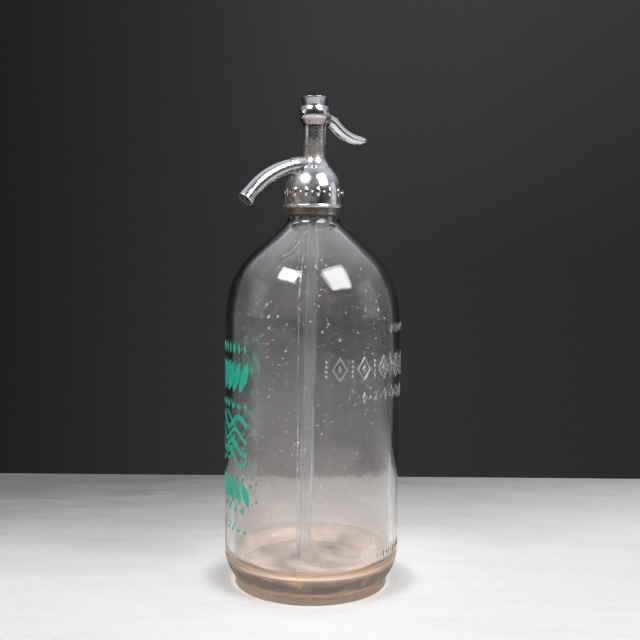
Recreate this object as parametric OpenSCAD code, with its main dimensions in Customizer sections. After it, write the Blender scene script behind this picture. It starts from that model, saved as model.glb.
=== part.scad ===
// Soda siphon: a glass bottle with a plated lever head, made of separate pieces.
// The origin is the centre of the foot on the table, +Z is up,
// the spout points along -X and the lever along +X.

/* [Bottle] */
// Outer diameter of the straight glass wall
bottle_d = 106; // [90:1:112]
// Height where the straight wall ends and the shoulder begins
wall_top_z = 159; // [120:1:190]
// Thickness of the glass wall
glass_wall = 5.5; // [4.5:0.1:6]
// Thickness of the bottle's floor at the centre
floor_thick = 9; // [6:0.5:12]
// Radius of the rounded heel
heel_r = 24; // [20:0.1:26]
// Height of the heel arc's centre
heel_z = 22; // [20:0.1:24]
// How far the foot ring stands in from the straight wall
foot_inset = 6.2; // [4:0.1:9]
// Height of the foot ring
foot_h = 5.6; // [4:0.1:6]
// Height of the hollow under the base
push_up = 3; // [1:0.1:5]
// Radius of the upper wall's gentle curve
upper_wall_r = 90; // [70:1:120]
// Radius of the shoulder's curve
shoulder_r = 48; // [40:0.5:54]
// Slope at which the shoulder runs into the neck, in degrees from upright
shoulder_slope = 49.5; // [44:0.5:54]
// Radius of the hollow curve between shoulder and neck
neck_fillet_r = 8; // [5:0.5:10]
// Outer radius of the neck band
neck_r = 15.3; // [14.5:0.1:16]
// Radius of the bore of the neck
neck_bore_r = 9.2; // [8.8:0.1:10]
// Depth of the groove that the collar grips, below the lip
neck_groove_h = 6.5; // [5:0.1:8]
// Outer radius of the glass lip
lip_r = 14.2; // [13.8:0.1:14.6]
// Height of the glass lip above the groove
lip_h = 5.4; // [4.5:0.1:7]

/* [Collar and rings] */
// Thickness of the rubber cushion under the collar
cushion_h = 1.1; // [0.6:0.1:2]
// Outer radius of the split collar
collar_r = 16.05; // [15.8:0.05:16.5]
// Height of the collar's plain band below the locking ring
collar_band_h = 2.7; // [2:0.1:4]
// Height of the whole collar
collar_h = 10.2; // [8:0.1:10.6]
// Width of the gap between the collar's halves
collar_split = 0.9; // [0.4:0.1:2]
// Thickness of the locking ring
ring_h = 1.2; // [0.8:0.1:2]
// Outer radius of the locking ring
ring_r = 17.05; // [16.8:0.05:18]
// Thickness of the neck gasket
gasket_h = 2; // [1:0.1:3]

/* [Head] */
// Outer radius of the bead at the head's lower edge
bead_r = 18.95; // [18.4:0.05:20]
// Height of the bead
bead_h = 2.3; // [1.6:0.1:3]
// Outer radius of the skirt
skirt_r = 17.8; // [17.4:0.05:18.5]
// Height of the skirt above the bead
skirt_h = 6.2; // [5:0.1:9]
// Radius of the dome's curve
dome_r = 22; // [20:0.5:26]
// Slope where the dome turns into the column, in degrees from upright
dome_slope = 49; // [44:1:54]
// Outer radius of the column
column_r = 6.9; // [6.6:0.05:7.4]
// Radius of the hollow curve at the column's foot
column_fillet_r = 12.2; // [8:0.1:14]
// Length of the straight column
column_h = 15.5; // [14:0.1:22]
// Greatest radius of the bulb
bulb_r = 9.6; // [9.2:0.05:10.4]
// Radius of the bulb's curve in section
bulb_curve_r = 8.3; // [7.5:0.1:9]
// Slope where the bulb meets its lower hollow curve
bulb_slope = 39.5; // [34:0.5:45]
// Radius of the hollow curve under the bulb
bulb_fillet_r = 4.5; // [3:0.1:6]
// Height of the bulb's flat top above its widest place
bulb_top_h = 4; // [3:0.1:5]
// Radius of the bore of the column
bore_r = 5; // [4.6:0.05:5.2]
// Radius of the bulb's chamber
chamber_r = 6.2; // [5.9:0.05:6.6]

/* [Cap] */
// Radius of the cap at its foot
cap_r = 7.2; // [6.9:0.05:7.6]
// Radius of the cap's flared rim
cap_rim_r = 8.2; // [7.8:0.05:8.6]
// Height of the cap above the bulb
cap_h = 5.8; // [4.5:0.1:8]
// Depth of the dish in the cap's top
cap_dish = 1.3; // [0.6:0.1:2]
// Length of the cap's thread
cap_thread_h = 2.3; // [1.8:0.1:2.4]

/* [Spout] */
// Outer radius of the spout's tube
spout_r = 4.45; // [4.2:0.05:4.6]
// Radius of the spout's channel
spout_bore_r = 2.6; // [2:0.05:2.8]
// Radius of the bend
spout_bend_r = 52.5; // [50:0.5:55]
// Angle of the bend
spout_bend = 48.5; // [45:0.5:51]
// Length of the flared nozzle
nozzle_h = 6; // [5:0.1:7]
// Outer radius of the nozzle below its lip
nozzle_r = 4.7; // [4.65:0.05:4.8]
// Outer radius of the nozzle's lip
nozzle_lip_r = 5.15; // [5.1:0.05:5.5]
// Radius of the outlet's socket
outlet_r = 3.7; // [3.2:0.05:3.8]
// Depth of the outlet's socket
outlet_h = 4.5; // [3:0.1:5]
// Height of the spout's axis above the head's lower edge
spout_rise = 25.9; // [25:0.1:27]

/* [Lever] */
// Distance of the lever's pin from the spindle's axis
pin_arm = 4; // [3.6:0.1:4.2]
// Radius of the lever's pin
pin_r = 1.25; // [1:0.05:1.4]
// Reach of the lever's tip from the spindle's axis
lever_reach = 40.4; // [36:0.1:46]
// How far the lever's pressed end lies below its pin
lever_fall = 12.5; // [10:0.1:14]
// Steepest slope of the lever
lever_slope = 46; // [40:1:50]
// Radius of the bend at the lever's root
lever_root_r = 7.5; // [6:0.1:9]
// Radius of the long hollow bend of the lever
lever_long_r = 26.6; // [24:0.1:28]
// Half thickness of the lever at its root
lever_thick = 4.2; // [3.6:0.1:4.4]
// Half width of the lever at its broadest
lever_wide = 4.2; // [3.6:0.1:5]
// Thickness of the flat tongue inside the bulb
tongue_w = 2.6; // [2:0.1:2.8]
// Radius of the tongue's nose
nose_r = 1.1; // [0.9:0.05:1.2]

/* [Valve] */
// Lift of the valve at the end of the lever's stroke
valve_lift = 1.26; // [0.8:0.01:1.4]
// Radius of the opening in the valve seat
seat_hole_r = 2.4; // [2:0.1:2.8]
// Height of the seat's nose over its washer
seat_nose_h = 1.5; // [1:0.1:2]
// Thickness of the seat washer
seat_washer_h = 0.4; // [0.3:0.1:0.8]
// Length of the seat's threaded body
seat_body_h = 2.6; // [2:0.1:3.5]
// Thickness of the valve rubber
rubber_h = 2.2; // [1.6:0.1:2.8]
// Radius of the valve rubber
rubber_r = 3.45; // [3.2:0.05:3.7]
// Radius of the spindle's stem in the wet chamber
stem_r = 2.4; // [2:0.1:2.6]
// Radius of the spindle's slotted head
spindle_r = 3.1; // [2.9:0.05:3.2]
// Thickness of the piston cup
cup_h = 2.4; // [1.6:0.1:3]
// Thickness of the spindle's collar over the cup
piston_h = 2; // [1.5:0.1:3]

/* [Spring] */
// Diameter of the spring's wire
wire_d = 1; // [0.8:0.05:1.1]
// Radius of the spring to the middle of its wire
spring_r = 4.1; // [4:0.05:4.2]
// Working turns of the spring
spring_turns = 5; // [3:1:6]

/* [Dip tube] */
// Outer radius of the dip tube
tube_r = 4; // [3.6:0.1:4.2]
// Radius of the dip tube's bore
tube_bore_r = 2.6; // [2:0.1:3]
// Lean of the dip tube in degrees
tube_lean = 1.2; // [0:0.1:1.4]
// Clear height between the tube's mouth and the floor of the bottle
tube_clear = 7; // [3:0.5:20]
// Thickness of the bead at the tube's top
tube_bead_h = 2; // [1.5:0.1:2.5]
// Thickness of the rubber seal over the bead
tube_seal_h = 2.5; // [1.5:0.1:3]
// Height of the hexagon of the tube nut
nut_hex_h = 3; // [2:0.1:4]
// Radius across the corners of that hexagon
nut_hex_r = 8; // [7.4:0.1:8.2]

/* [Clearances] */
// Gap of pieces that are screwed or pushed together
fit_gap = 0.05; // [0.02:0.01:0.1]
// Gap of a sliding or turning piece in its bore
run_gap = 0.08; // [0.03:0.01:0.1]
// Gap beside the lever's tongue
side_gap = 0.2; // [0.1:0.05:0.4]
// Gap between rubber or glass and the metal round it
soft_gap = 0.2; // [0.1:0.05:0.3]

/* [Hidden] */

glass = [0.86, 0.82, 0.78, 0.35];
tube_glass = [0.72, 0.78, 0.80, 0.5];
chrome = [0.80, 0.80, 0.82];
worn_chrome = [0.70, 0.66, 0.62];
brass = [0.78, 0.62, 0.32];
rubber = [0.08, 0.08, 0.08];
fibre = [0.45, 0.18, 0.12];
steel = [0.62, 0.63, 0.66];

round_fn = 96;      // facets of the round pieces where they are drawn
over = 0.5;         // how far a cutting tool runs past what it cuts
step = 0.05;        // small step that keeps two round surfaces from running into one
edge = 0.4;         // size of the small edge breaks

// Bottle, from the foot up
wall_r = bottle_d / 2;
foot_r = wall_r - foot_inset;
heel_x = wall_r - heel_r;
notch_w = 1.4;                                   // width of the notch between foot and heel
notch_deep = 0.8;
notch_top_z = foot_h + notch_w;                  // where the heel's curve begins
notch_r = foot_r - notch_deep;
upper_x = wall_r - upper_wall_r;
upper_turn = 11;                                 // where the upper wall's curve ends
shoulder_x = upper_x + (upper_wall_r - shoulder_r) * cos(upper_turn);
shoulder_z = wall_top_z + (upper_wall_r - shoulder_r) * sin(upper_turn);
slope_r = shoulder_x + shoulder_r * cos(shoulder_slope);
slope_z = shoulder_z + shoulder_r * sin(shoulder_slope);
fillet_touch_r = neck_r + neck_fillet_r * (1 - cos(shoulder_slope));
fillet_run = (slope_r - fillet_touch_r) / sin(shoulder_slope);
neck_z = slope_z + fillet_run * cos(shoulder_slope) + neck_fillet_r * sin(shoulder_slope);
shelf_drop = 0.6;                                // how far the shelf lies below the curve's end
band_top_z = neck_z - shelf_drop;                // flat shelf that carries the cushion
lip_hook = 1.6;                                  // how far the lip stands out over the groove
groove_r = lip_r - lip_hook;
lip_z = band_top_z + neck_groove_h;              // underside of the lip
glass_top_z = lip_z + lip_h;
floor_z = push_up + floor_thick;

// The same curves one wall thickness further in
inner_slope_r = shoulder_x + (shoulder_r - glass_wall) * cos(shoulder_slope);
inner_slope_z = shoulder_z + (shoulder_r - glass_wall) * sin(shoulder_slope);
inner_touch_r = neck_bore_r + neck_fillet_r * (1 - cos(shoulder_slope));
inner_run = (inner_slope_r - inner_touch_r) / sin(shoulder_slope);
inner_neck_z = inner_slope_z + inner_run * cos(shoulder_slope)
             + neck_fillet_r * sin(shoulder_slope);
inner_heel_r = 10;                               // rounding of the inside corner
inner_wall_r = wall_r - glass_wall;

// Collar, rings and head, stacked on the neck
cushion_z = band_top_z;
collar_z = cushion_z + cushion_h;
ring_z = collar_z + collar_band_h;
head_z = ring_z + ring_h;
gasket_z = glass_top_z;
ceiling_z = gasket_z + gasket_h;
head_cavity_r = collar_r + fit_gap;
dome_z = head_z + bead_h + skirt_h;
dome_x = skirt_r - dome_r;
dome_end_r = dome_x + dome_r * cos(dome_slope);
dome_end_z = dome_z + dome_r * sin(dome_slope);
column_turn_r = column_r + column_fillet_r;
dome_cut = acos((column_turn_r - dome_end_r) / column_fillet_r);
column_z = dome_end_z + column_fillet_r * sin(dome_cut);
column_top_z = column_z + column_h;
bulb_x = bulb_r - bulb_curve_r;
bulb_low_r = bulb_x + bulb_curve_r * cos(bulb_slope);
bulb_turn = acos((column_r + bulb_fillet_r - bulb_low_r) / bulb_fillet_r);
bulb_low_z = column_top_z + bulb_fillet_r * sin(bulb_turn);
bulb_z = bulb_low_z + bulb_curve_r * sin(bulb_slope);
bulb_top_z = bulb_z + bulb_top_h;
bulb_top_r = bulb_x + sqrt(bulb_curve_r * bulb_curve_r - bulb_top_h * bulb_top_h);

// Spout
spout_z = head_z + spout_rise;
spout_x = -4.8;                                  // where the bend starts, inside the head
spout_root_turn = 1.6;                           // the tube's inner end, just outside the bore
socket_turn = 9;                                 // how far the head's socket reaches round it
socket_wall = 0.55;                              // wall of the head's socket round the spout
socket_nose_wall = 0.35;                         // and at the socket's tapered end
socket_r = spout_r + socket_wall;
socket_nose_h = 4;
socket_spare = 8;                                // how far the socket's bore runs on, in degrees
port_len = 5;                                    // length of the port from bore to spout
drill_spare = 2;                                 // how far a drilled hole passes its wall

// Dip tube, nut and valve seat, hung in the head from below
nut_z = ceiling_z - nut_hex_h;
nut_thread_r = 6.4;
nut_inner_r = 5.3;
nut_shelf = 1.4;
bead_z = ceiling_z + nut_shelf;                  // shelf of the nut that carries the bead
tube_bead_r = nut_inner_r - soft_gap;
seal_z = bead_z + tube_bead_h;
seat_z = seal_z + tube_seal_h;
seat_r = 5.75;
seat_washer_z = seat_z + seat_body_h;
seat_shoulder_z = seat_washer_z + seat_washer_h;
seat_top_z = seat_shoulder_z + seat_nose_h;
tube_end_z = floor_z + tube_clear;

// Spindle, from the seat up
holder_r = 4.2;
holder_skirt = 1.2;                              // depth of the recess that holds the rubber
holder_z = seat_top_z + rubber_h - holder_skirt;
holder_back = 1.8;                               // thickness of the holder over the rubber
holder_top_z = seat_top_z + rubber_h + holder_back;
screw_r = 1;
screw_head_r = seat_hole_r - 0.7;
screw_head_h = 0.8;
screw_slot = 0.4;                                // width and depth of the screw's slot
screw_len = 6;
cup_bore_r = stem_r + fit_gap;
piston_r = bore_r - run_gap;
flange_h = 1;
flange_r = bore_r - 1.1;
cup_z = spout_z + spout_bore_r + valve_lift + flange_h + soft_gap;
piston_z = cup_z + cup_h;
spring_low_z = piston_z + piston_h;
bush_h = 3.3;
bush_rise = 0.3;                                 // how far the bush stands into the bulb
bush_z = column_top_z - bush_h + bush_rise;
bush_r = bore_r + 0.6;
bush_key_w = 1.2;                                // key slot across the bush
bush_key_h = 1;
bush_hole_r = spindle_r + run_gap;
guide_len = 4;
guide_z = bush_z - guide_len;                    // where the stem widens to the spindle's head

// Lever, in the plane of the spout
pin_drop = 1;                                    // pin's depth below the bulb's widest place
pin_z = bulb_z - pin_drop;
slot_w = tongue_w + 2 * run_gap;
nose_play = 0.03;
slot_top_z = pin_z + nose_r + nose_play;
spindle_roof = 2;                                // metal over the slot
spindle_top_z = slot_top_z + spindle_roof;
hub_wall = 1.15;
hub_r = pin_r + hub_wall;
slot_low_z = pin_z - hub_r - valve_lift - 0.3;    // keeps the hub free at the full lift
relief_x = pin_arm - hub_r - soft_gap;           // flat of the spindle beside the lever's hub
tip_len = 6.4;                                   // straight part of the lever at its tip
tip_z = pin_z - lever_fall;
long_end_x = lever_reach - tip_len;
long_start_x = long_end_x - lever_long_r * sin(lever_slope);
long_start_z = tip_z + lever_long_r * (1 - cos(lever_slope));
root_dip = 4;                                    // slope of the lever where it leaves the bulb
root_x = long_start_x - lever_root_r * (sin(lever_slope) - sin(root_dip));
root_z = long_start_z + lever_root_r * (cos(root_dip) - cos(lever_slope));
lever_stroke = valve_lift / pin_arm * 180 / PI;  // the lever's turn for the full lift
pin_len = 2 * sqrt(bulb_r * bulb_r - pin_arm * pin_arm) - over;
tongue_slot_low = 5;                             // reach of the tongue's slot below the pin
tongue_slot_high = 2.4;                          // and above it
plug_r = 2.75;
plug_gap = 0.6;                                  // the plug ends this far from the chamber
plug_face_x = -(bulb_r + 0.1);

// Spring
spring_h = bush_z - spring_low_z;
curl_h = spring_h - 2 * wire_d;                  // height taken by the curls, without the ends
pitch = curl_h / spring_turns;
rings_per_turn = 8;
wire_sides = 6;

// Cap
washer_h = 0.5;
washer_z = bulb_top_z - washer_h;
cap_wall = 1.75;
cap_roof = 1.7;

// A solid lofted through rings that all have the same number of points
module loft(rings) {
    n = len(rings[0]);
    m = len(rings);
    points = [for (ring = rings) each ring];
    sides = [for (i = [0:m - 2], j = [0:n - 1])
        let (a = i * n + j, b = i * n + (j + 1) % n, c = a + n, d = b + n)
        each [[a, b, c], [b, d, c]]];
    first = [for (j = [1:n - 2]) [0, j + 1, j]];
    last = [for (j = [1:n - 2]) [(m - 1) * n, (m - 1) * n + j, (m - 1) * n + j + 1]];
    polyhedron(points, concat(sides, first, last), convexity = 6);
}

// A plain ring standing on z
module ring(r_out, r_in, z, h) {
    translate([0, 0, z]) difference() {
        cylinder(h = h, r = r_out, $fn = round_fn);
        translate([0, 0, -over]) cylinder(h = h + 2 * over, r = r_in, $fn = round_fn);
    }
}

// ---------------------------------------------------------------- bottle

// Half section of the glass, made of true circles so that it revolves exactly
module glass_outside() {
    // foot ring with broken edges, and the notch over it
    polygon([[0, 0], [foot_r - 2 * edge, 0], [foot_r, 2 * edge], [foot_r, foot_h - edge],
             [foot_r - edge, foot_h], [0, foot_h]]);
    square([notch_r, heel_z]);
    // heel, straight wall and the gentle curve over it
    intersection() {
        translate([heel_x, heel_z]) circle(heel_r, $fn = 2 * round_fn);
        translate([0, notch_top_z]) square([wall_r, heel_z - notch_top_z + over]);
    }
    translate([0, heel_z]) square([wall_r, wall_top_z - heel_z]);
    intersection() {
        translate([upper_x, wall_top_z]) circle(upper_wall_r, $fn = 4 * round_fn);
        translate([0, wall_top_z]) square([wall_r, upper_wall_r * sin(upper_turn)]);
    }
    // shoulder
    upper_end_z = wall_top_z + upper_wall_r * sin(upper_turn);
    intersection() {
        translate([shoulder_x, shoulder_z]) circle(shoulder_r, $fn = 2 * round_fn);
        translate([0, upper_end_z - over]) square([wall_r, slope_z - upper_end_z + over]);
    }
    // slope, hollow fillet, neck band, groove and lip
    difference() {
        polygon([[0, slope_z], [slope_r, slope_z],
                 [fillet_touch_r, slope_z + fillet_run * cos(shoulder_slope)],
                 [fillet_touch_r, neck_z], [neck_r, neck_z], [neck_r, band_top_z + 2 * edge],
                 [0, band_top_z + 2 * edge]]);
        translate([neck_r + neck_fillet_r, neck_z]) circle(neck_fillet_r, $fn = round_fn);
        translate([0, band_top_z]) square([2 * neck_r, neck_z]);
    }
    translate([0, slope_z]) square([groove_r, glass_top_z - edge - slope_z]);
    polygon([[0, lip_z], [groove_r, lip_z], [lip_r, lip_z + lip_r - groove_r],
             [lip_r, glass_top_z - 2 * edge], [lip_r - 2 * edge, glass_top_z],
             [0, glass_top_z]]);
}

module glass_inside() {
    // floor and inside heel
    translate([0, floor_z]) square([inner_wall_r - inner_heel_r, wall_top_z - floor_z]);
    translate([inner_wall_r - inner_heel_r, floor_z + inner_heel_r])
        circle(inner_heel_r, $fn = round_fn);
    translate([0, floor_z + inner_heel_r])
        square([inner_wall_r, wall_top_z - floor_z - inner_heel_r]);
    intersection() {
        translate([upper_x, wall_top_z]) circle(upper_wall_r - glass_wall, $fn = 4 * round_fn);
        translate([0, wall_top_z])
            square([wall_r, (upper_wall_r - glass_wall) * sin(upper_turn)]);
    }
    upper_end_z = wall_top_z + (upper_wall_r - glass_wall) * sin(upper_turn);
    intersection() {
        translate([shoulder_x, shoulder_z])
            circle(shoulder_r - glass_wall, $fn = 2 * round_fn);
        translate([0, upper_end_z - over])
            square([wall_r, inner_slope_z - upper_end_z + over]);
    }
    difference() {
        polygon([[0, inner_slope_z], [inner_slope_r, inner_slope_z],
                 [inner_touch_r, inner_slope_z + inner_run * cos(shoulder_slope)],
                 [inner_touch_r, inner_neck_z], [0, inner_neck_z]]);
        translate([neck_bore_r + neck_fillet_r, inner_neck_z])
            circle(neck_fillet_r, $fn = round_fn);
    }
    translate([0, inner_slope_z]) square([neck_bore_r, glass_top_z + over - inner_slope_z]);
}

module bottle() {
    rim_w = 4;                                   // width of the foot ring that stands down
    dome_half = foot_r - rim_w;
    under_r = (dome_half * dome_half + push_up * push_up) / (2 * push_up);
    color(glass) rotate_extrude($fn = round_fn) difference() {
        glass_outside();
        glass_inside();
        // shallow hollow under the base
        intersection() {
            translate([0, push_up - under_r]) circle(under_r, $fn = 6 * round_fn);
            translate([0, -over]) square([foot_r, push_up + 2 * over]);
        }
        translate([-wall_r, -over]) square([wall_r, glass_top_z + 2 * over]);
    }
}

// ---------------------------------------------------------------- neck fittings

module neck_cushion() {
    color(rubber) ring(neck_r + edge, groove_r + soft_gap, cushion_z, cushion_h);
}

module neck_gasket() {
    color(rubber) ring(lip_r, neck_bore_r + soft_gap, gasket_z, gasket_h);
}

// The whole collar: grips the groove, and its cone lifts the underside of the lip
module collar_body() {
    lip_start = lip_z - collar_z;
    rotate_extrude($fn = round_fn) polygon([
        [groove_r + soft_gap, 0], [collar_r - edge, 0], [collar_r, edge],
        [collar_r, collar_h - edge], [collar_r - edge, collar_h],
        [lip_r + soft_gap, collar_h],
        [lip_r + soft_gap, lip_start + lip_r - groove_r],
        [groove_r + soft_gap, lip_start]]);
}

// Keeps one half of the collar; side is -1 for the front and 1 for the rear
module collar_half(side) {
    translate([0, 0, collar_z]) intersection() {
        collar_body();
        translate([-collar_r - over, side > 0 ? collar_split / 2 : -collar_r - over, -over])
            cube([2 * (collar_r + over), collar_r + over - collar_split / 2,
                  collar_h + 2 * over]);
    }
}

module split_collar_front() {
    color(worn_chrome) collar_half(-1);
}

module split_collar_rear() {
    color(worn_chrome) collar_half(1);
}

module locking_ring() {
    color(worn_chrome) translate([0, 0, ring_z]) rotate_extrude($fn = round_fn) polygon([
        [collar_r + fit_gap, 0], [ring_r - edge / 2, 0], [ring_r, edge / 2],
        [ring_r, ring_h - edge / 2], [ring_r - edge / 2, ring_h],
        [collar_r + fit_gap, ring_h]]);
}

// ---------------------------------------------------------------- head

// Half section of the head's outside, of true circles, from z = head_z up
module head_outside() {
    bead_round = bead_h / 2;
    // bead and skirt
    translate([bead_r - bead_round, head_z + bead_round])
        circle(bead_round, $fn = round_fn / 2);
    translate([0, head_z]) square([bead_r - bead_round, bead_h]);
    translate([0, head_z]) square([skirt_r, bead_h + skirt_h]);
    // dome
    intersection() {
        translate([dome_x, dome_z]) circle(dome_r, $fn = 2 * round_fn);
        translate([0, dome_z]) square([skirt_r, dome_end_z - dome_z + over]);
    }
    // hollow curve into the column
    difference() {
        translate([0, dome_end_z - edge])
            square([dome_end_r + edge, column_z - dome_end_z + edge]);
        translate([column_turn_r, column_z]) circle(column_fillet_r, $fn = 2 * round_fn);
    }
    translate([0, dome_end_z]) square([column_r, column_top_z - dome_end_z + edge]);
    // hollow curve under the bulb
    difference() {
        translate([0, column_top_z])
            square([bulb_low_r + edge, bulb_low_z - column_top_z + edge / 3]);
        translate([column_r + bulb_fillet_r, column_top_z])
            circle(bulb_fillet_r, $fn = round_fn);
    }
    intersection() {
        translate([bulb_x, bulb_z]) circle(bulb_curve_r, $fn = round_fn);
        translate([0, bulb_low_z - edge]) square([bulb_r, bulb_top_z - bulb_low_z + edge]);
    }
}

// Half section of the head's bores, all turned on the spindle's axis
module head_bores() {
    translate([0, head_z - over]) square([head_cavity_r, ceiling_z - head_z + over]);
    translate([0, ceiling_z - over])
        square([nut_thread_r + fit_gap, seat_z - ceiling_z + over]);
    translate([0, seat_z - over]) square([seat_r + fit_gap, seat_shoulder_z - seat_z + over]);
    translate([0, seat_z]) square([bore_r, bush_z + over - seat_z]);
    translate([0, bush_z]) square([bush_r + fit_gap, bush_h]);
    translate([0, bush_z + bush_h - edge]) square([chamber_r, bulb_top_z - bush_z - bush_h
                                                  + edge + over]);
    translate([0, washer_z]) square([cap_r - edge + fit_gap, washer_h + over]);
}

// A round bar that follows the spout's bend, from turn a to turn b
module spout_bend_bar(r, a, b) {
    translate([spout_x, 0, spout_z - spout_bend_r]) rotate([90, 0, 0])
        rotate([0, 0, 90 + a]) rotate_extrude(angle = b - a, $fn = 4 * round_fn)
            translate([spout_bend_r, 0]) circle(r, $fn = round_fn / 2);
}

// Places its children on the spout's axis at a turn, with +Z along the flow
module on_spout(turn) {
    translate([spout_x - spout_bend_r * sin(turn), 0,
               spout_z - spout_bend_r * (1 - cos(turn))])
        rotate([0, -90 - turn, 0]) children();
}

// Slot in the bulb's wall through which the lever's tongue passes
module tongue_slot() {
    w = tongue_w + 2 * side_gap;
    translate([chamber_r - 3 * over, -w / 2, pin_z - tongue_slot_low])
        cube([bulb_r, w, tongue_slot_low + tongue_slot_high]);
}

module head_casting() {
    color(chrome) difference() {
        union() {
            rotate_extrude($fn = round_fn) head_outside();
            spout_bend_bar(socket_r, 1, socket_turn);
            on_spout(socket_turn) translate([0, 0, -over])
                cylinder(h = socket_nose_h + over, r1 = socket_r - step,
                         r2 = spout_r + socket_nose_wall, $fn = round_fn / 2);
        }
        rotate_extrude($fn = round_fn) head_bores();
        // socket and port of the spout
        spout_bend_bar(spout_r + fit_gap, spout_root_turn, socket_turn + socket_spare);
        translate([drill_spare - bore_r - port_len, 0, spout_z]) rotate([0, 90, 0])
            cylinder(h = port_len, r = spout_bore_r, $fn = round_fn / 2);
        tongue_slot();
        // cross hole of the pin and drilled hole of the plug
        translate([pin_arm, 0, pin_z]) rotate([90, 0, 0])
            cylinder(h = 4 * bulb_r, r = pin_r + fit_gap, center = true, $fn = round_fn / 2);
        translate([plug_face_x - over, 0, pin_z]) rotate([0, 90, 0])
            cylinder(h = bulb_r - chamber_r + drill_spare, r = plug_r + fit_gap, $fn = round_fn / 2);
    }
}

module spout() {
    color(chrome) difference() {
        union() {
            spout_bend_bar(spout_r, spout_root_turn, spout_bend);
            on_spout(spout_bend) nozzle();
        }
        spout_bend_bar(spout_bore_r, spout_root_turn - 1, spout_bend);
        on_spout(spout_bend) {
            translate([0, 0, -over])
                cylinder(h = nozzle_h, r = spout_bore_r + step, $fn = round_fn / 2);
            translate([0, 0, nozzle_h - outlet_h])
                cylinder(h = outlet_h + over, r = outlet_r, $fn = round_fn / 2);
        }
    }
}

// Flared end of the spout with its rounded lip; it starts just inside the bend's end
module nozzle() {
    lip = 0.8;
    rotate_extrude($fn = round_fn / 2) {
        polygon([[0, -over], [spout_r + step, -over], [nozzle_r, nozzle_h / 2],
                 [nozzle_lip_r - lip / 2, nozzle_h - lip],
                 [nozzle_lip_r - lip / 2, nozzle_h], [0, nozzle_h]]);
        translate([nozzle_lip_r - lip / 2, nozzle_h - lip / 2]) circle(lip / 2, $fn = 32);
    }
}

// ---------------------------------------------------------------- dip tube

module dip_tube() {
    tube_len = bead_z + tube_bead_h / 2 - tube_end_z;
    color(tube_glass) difference() {
        union() {
            translate([0, 0, bead_z]) cylinder(h = tube_bead_h, r = tube_bead_r,
                                               $fn = round_fn);
            translate([0, 0, bead_z + tube_bead_h / 2]) rotate([0, tube_lean, 0])
                translate([0, 0, -tube_len]) cylinder(h = tube_len, r = tube_r,
                                                      $fn = round_fn);
        }
        translate([0, 0, bead_z + tube_bead_h / 2]) rotate([0, tube_lean, 0])
            translate([0, 0, -tube_len - over])
                cylinder(h = tube_len + tube_bead_h + 2 * over, r = tube_bore_r,
                         $fn = round_fn);
    }
}

module tube_seal() {
    color(rubber) ring(nut_inner_r - soft_gap, tube_bore_r, seal_z, tube_seal_h);
}

module tube_nut() {
    nut_hole_r = tube_r + 2 * soft_gap;
    color(brass) difference() {
        union() {
            translate([0, 0, nut_z]) cylinder(h = nut_hex_h, r = nut_hex_r, $fn = 6);
            translate([0, 0, ceiling_z - edge])
                cylinder(h = seat_z - ceiling_z + edge - fit_gap, r = nut_thread_r,
                         $fn = round_fn);
        }
        translate([0, 0, nut_z - over])
            cylinder(h = bead_z - nut_z + 2 * over, r = nut_hole_r, $fn = round_fn);
        translate([0, 0, bead_z])
            cylinder(h = seat_z - bead_z + over, r = nut_inner_r, $fn = round_fn);
    }
}

// ---------------------------------------------------------------- valve

module valve_seat() {
    nose_top_r = seat_hole_r + 1;
    color(brass) rotate_extrude($fn = round_fn) polygon([
        [seat_hole_r, seat_z], [seat_r, seat_z], [seat_r, seat_washer_z],
        [bore_r - soft_gap, seat_washer_z], [bore_r - soft_gap, seat_shoulder_z + edge],
        [nose_top_r, seat_top_z], [seat_hole_r, seat_top_z]]);
}

module seat_washer() {
    color(fibre) ring(seat_r, bore_r, seat_washer_z, seat_washer_h);
}

module valve_rubber() {
    color(rubber) ring(rubber_r, screw_r + soft_gap / 2, seat_top_z, rubber_h);
}

module valve_screw() {
    color(brass) {
        difference() {
            translate([0, 0, seat_top_z - screw_head_h])
                cylinder(h = screw_head_h, r = screw_head_r, $fn = round_fn);
            translate([-screw_head_r - over, -screw_slot / 2,
                       seat_top_z - screw_head_h - over])
                cube([2 * (screw_head_r + over), screw_slot, over + screw_slot]);
        }
        translate([0, 0, seat_top_z])
            cylinder(h = screw_len, r = screw_r, $fn = round_fn);
    }
}

module spindle() {
    color(brass) difference() {
        rotate_extrude($fn = round_fn) {
            translate([0, holder_z]) square([holder_r, holder_top_z - holder_z]);
            translate([0, holder_z]) square([stem_r, guide_z + edge - holder_z]);
            translate([0, cup_z - flange_h]) square([flange_r, flange_h]);
            translate([0, piston_z]) square([piston_r, piston_h]);
            translate([0, guide_z]) square([spindle_r, spindle_top_z - edge - guide_z]);
            translate([0, spindle_top_z - 2 * edge])
                square([spindle_r - edge, 2 * edge]);
        }
        // recess of the rubber and hole of its screw
        translate([0, 0, holder_z - over])
            cylinder(h = holder_skirt + over, r = rubber_r + soft_gap / 2, $fn = round_fn);
        translate([0, 0, holder_z])
            cylinder(h = seat_top_z + screw_len + edge - holder_z, r = screw_r + fit_gap,
                     $fn = round_fn);
        // slot of the lever's nose
        translate([-spindle_r - over, -slot_w / 2, slot_low_z])
            cube([2 * (spindle_r + over), slot_w, slot_top_z - slot_low_z]);
        // flat beside the lever's hub
        translate([relief_x, -spindle_r, slot_low_z])
            cube([spindle_r, 2 * spindle_r, spindle_top_z - slot_low_z + over]);
    }
}

module piston_cup() {
    color(rubber) ring(bore_r - run_gap, cup_bore_r, cup_z, cup_h);
}

// Wire of the spring: a straight leg, a rise into the curls, the curls and a leg again
function wire_point(k, n) =
    let (a = 360 * spring_turns * k / n)
    [spring_r * cos(a), spring_r * sin(a), spring_low_z + wire_d + curl_h * k / n];

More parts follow.
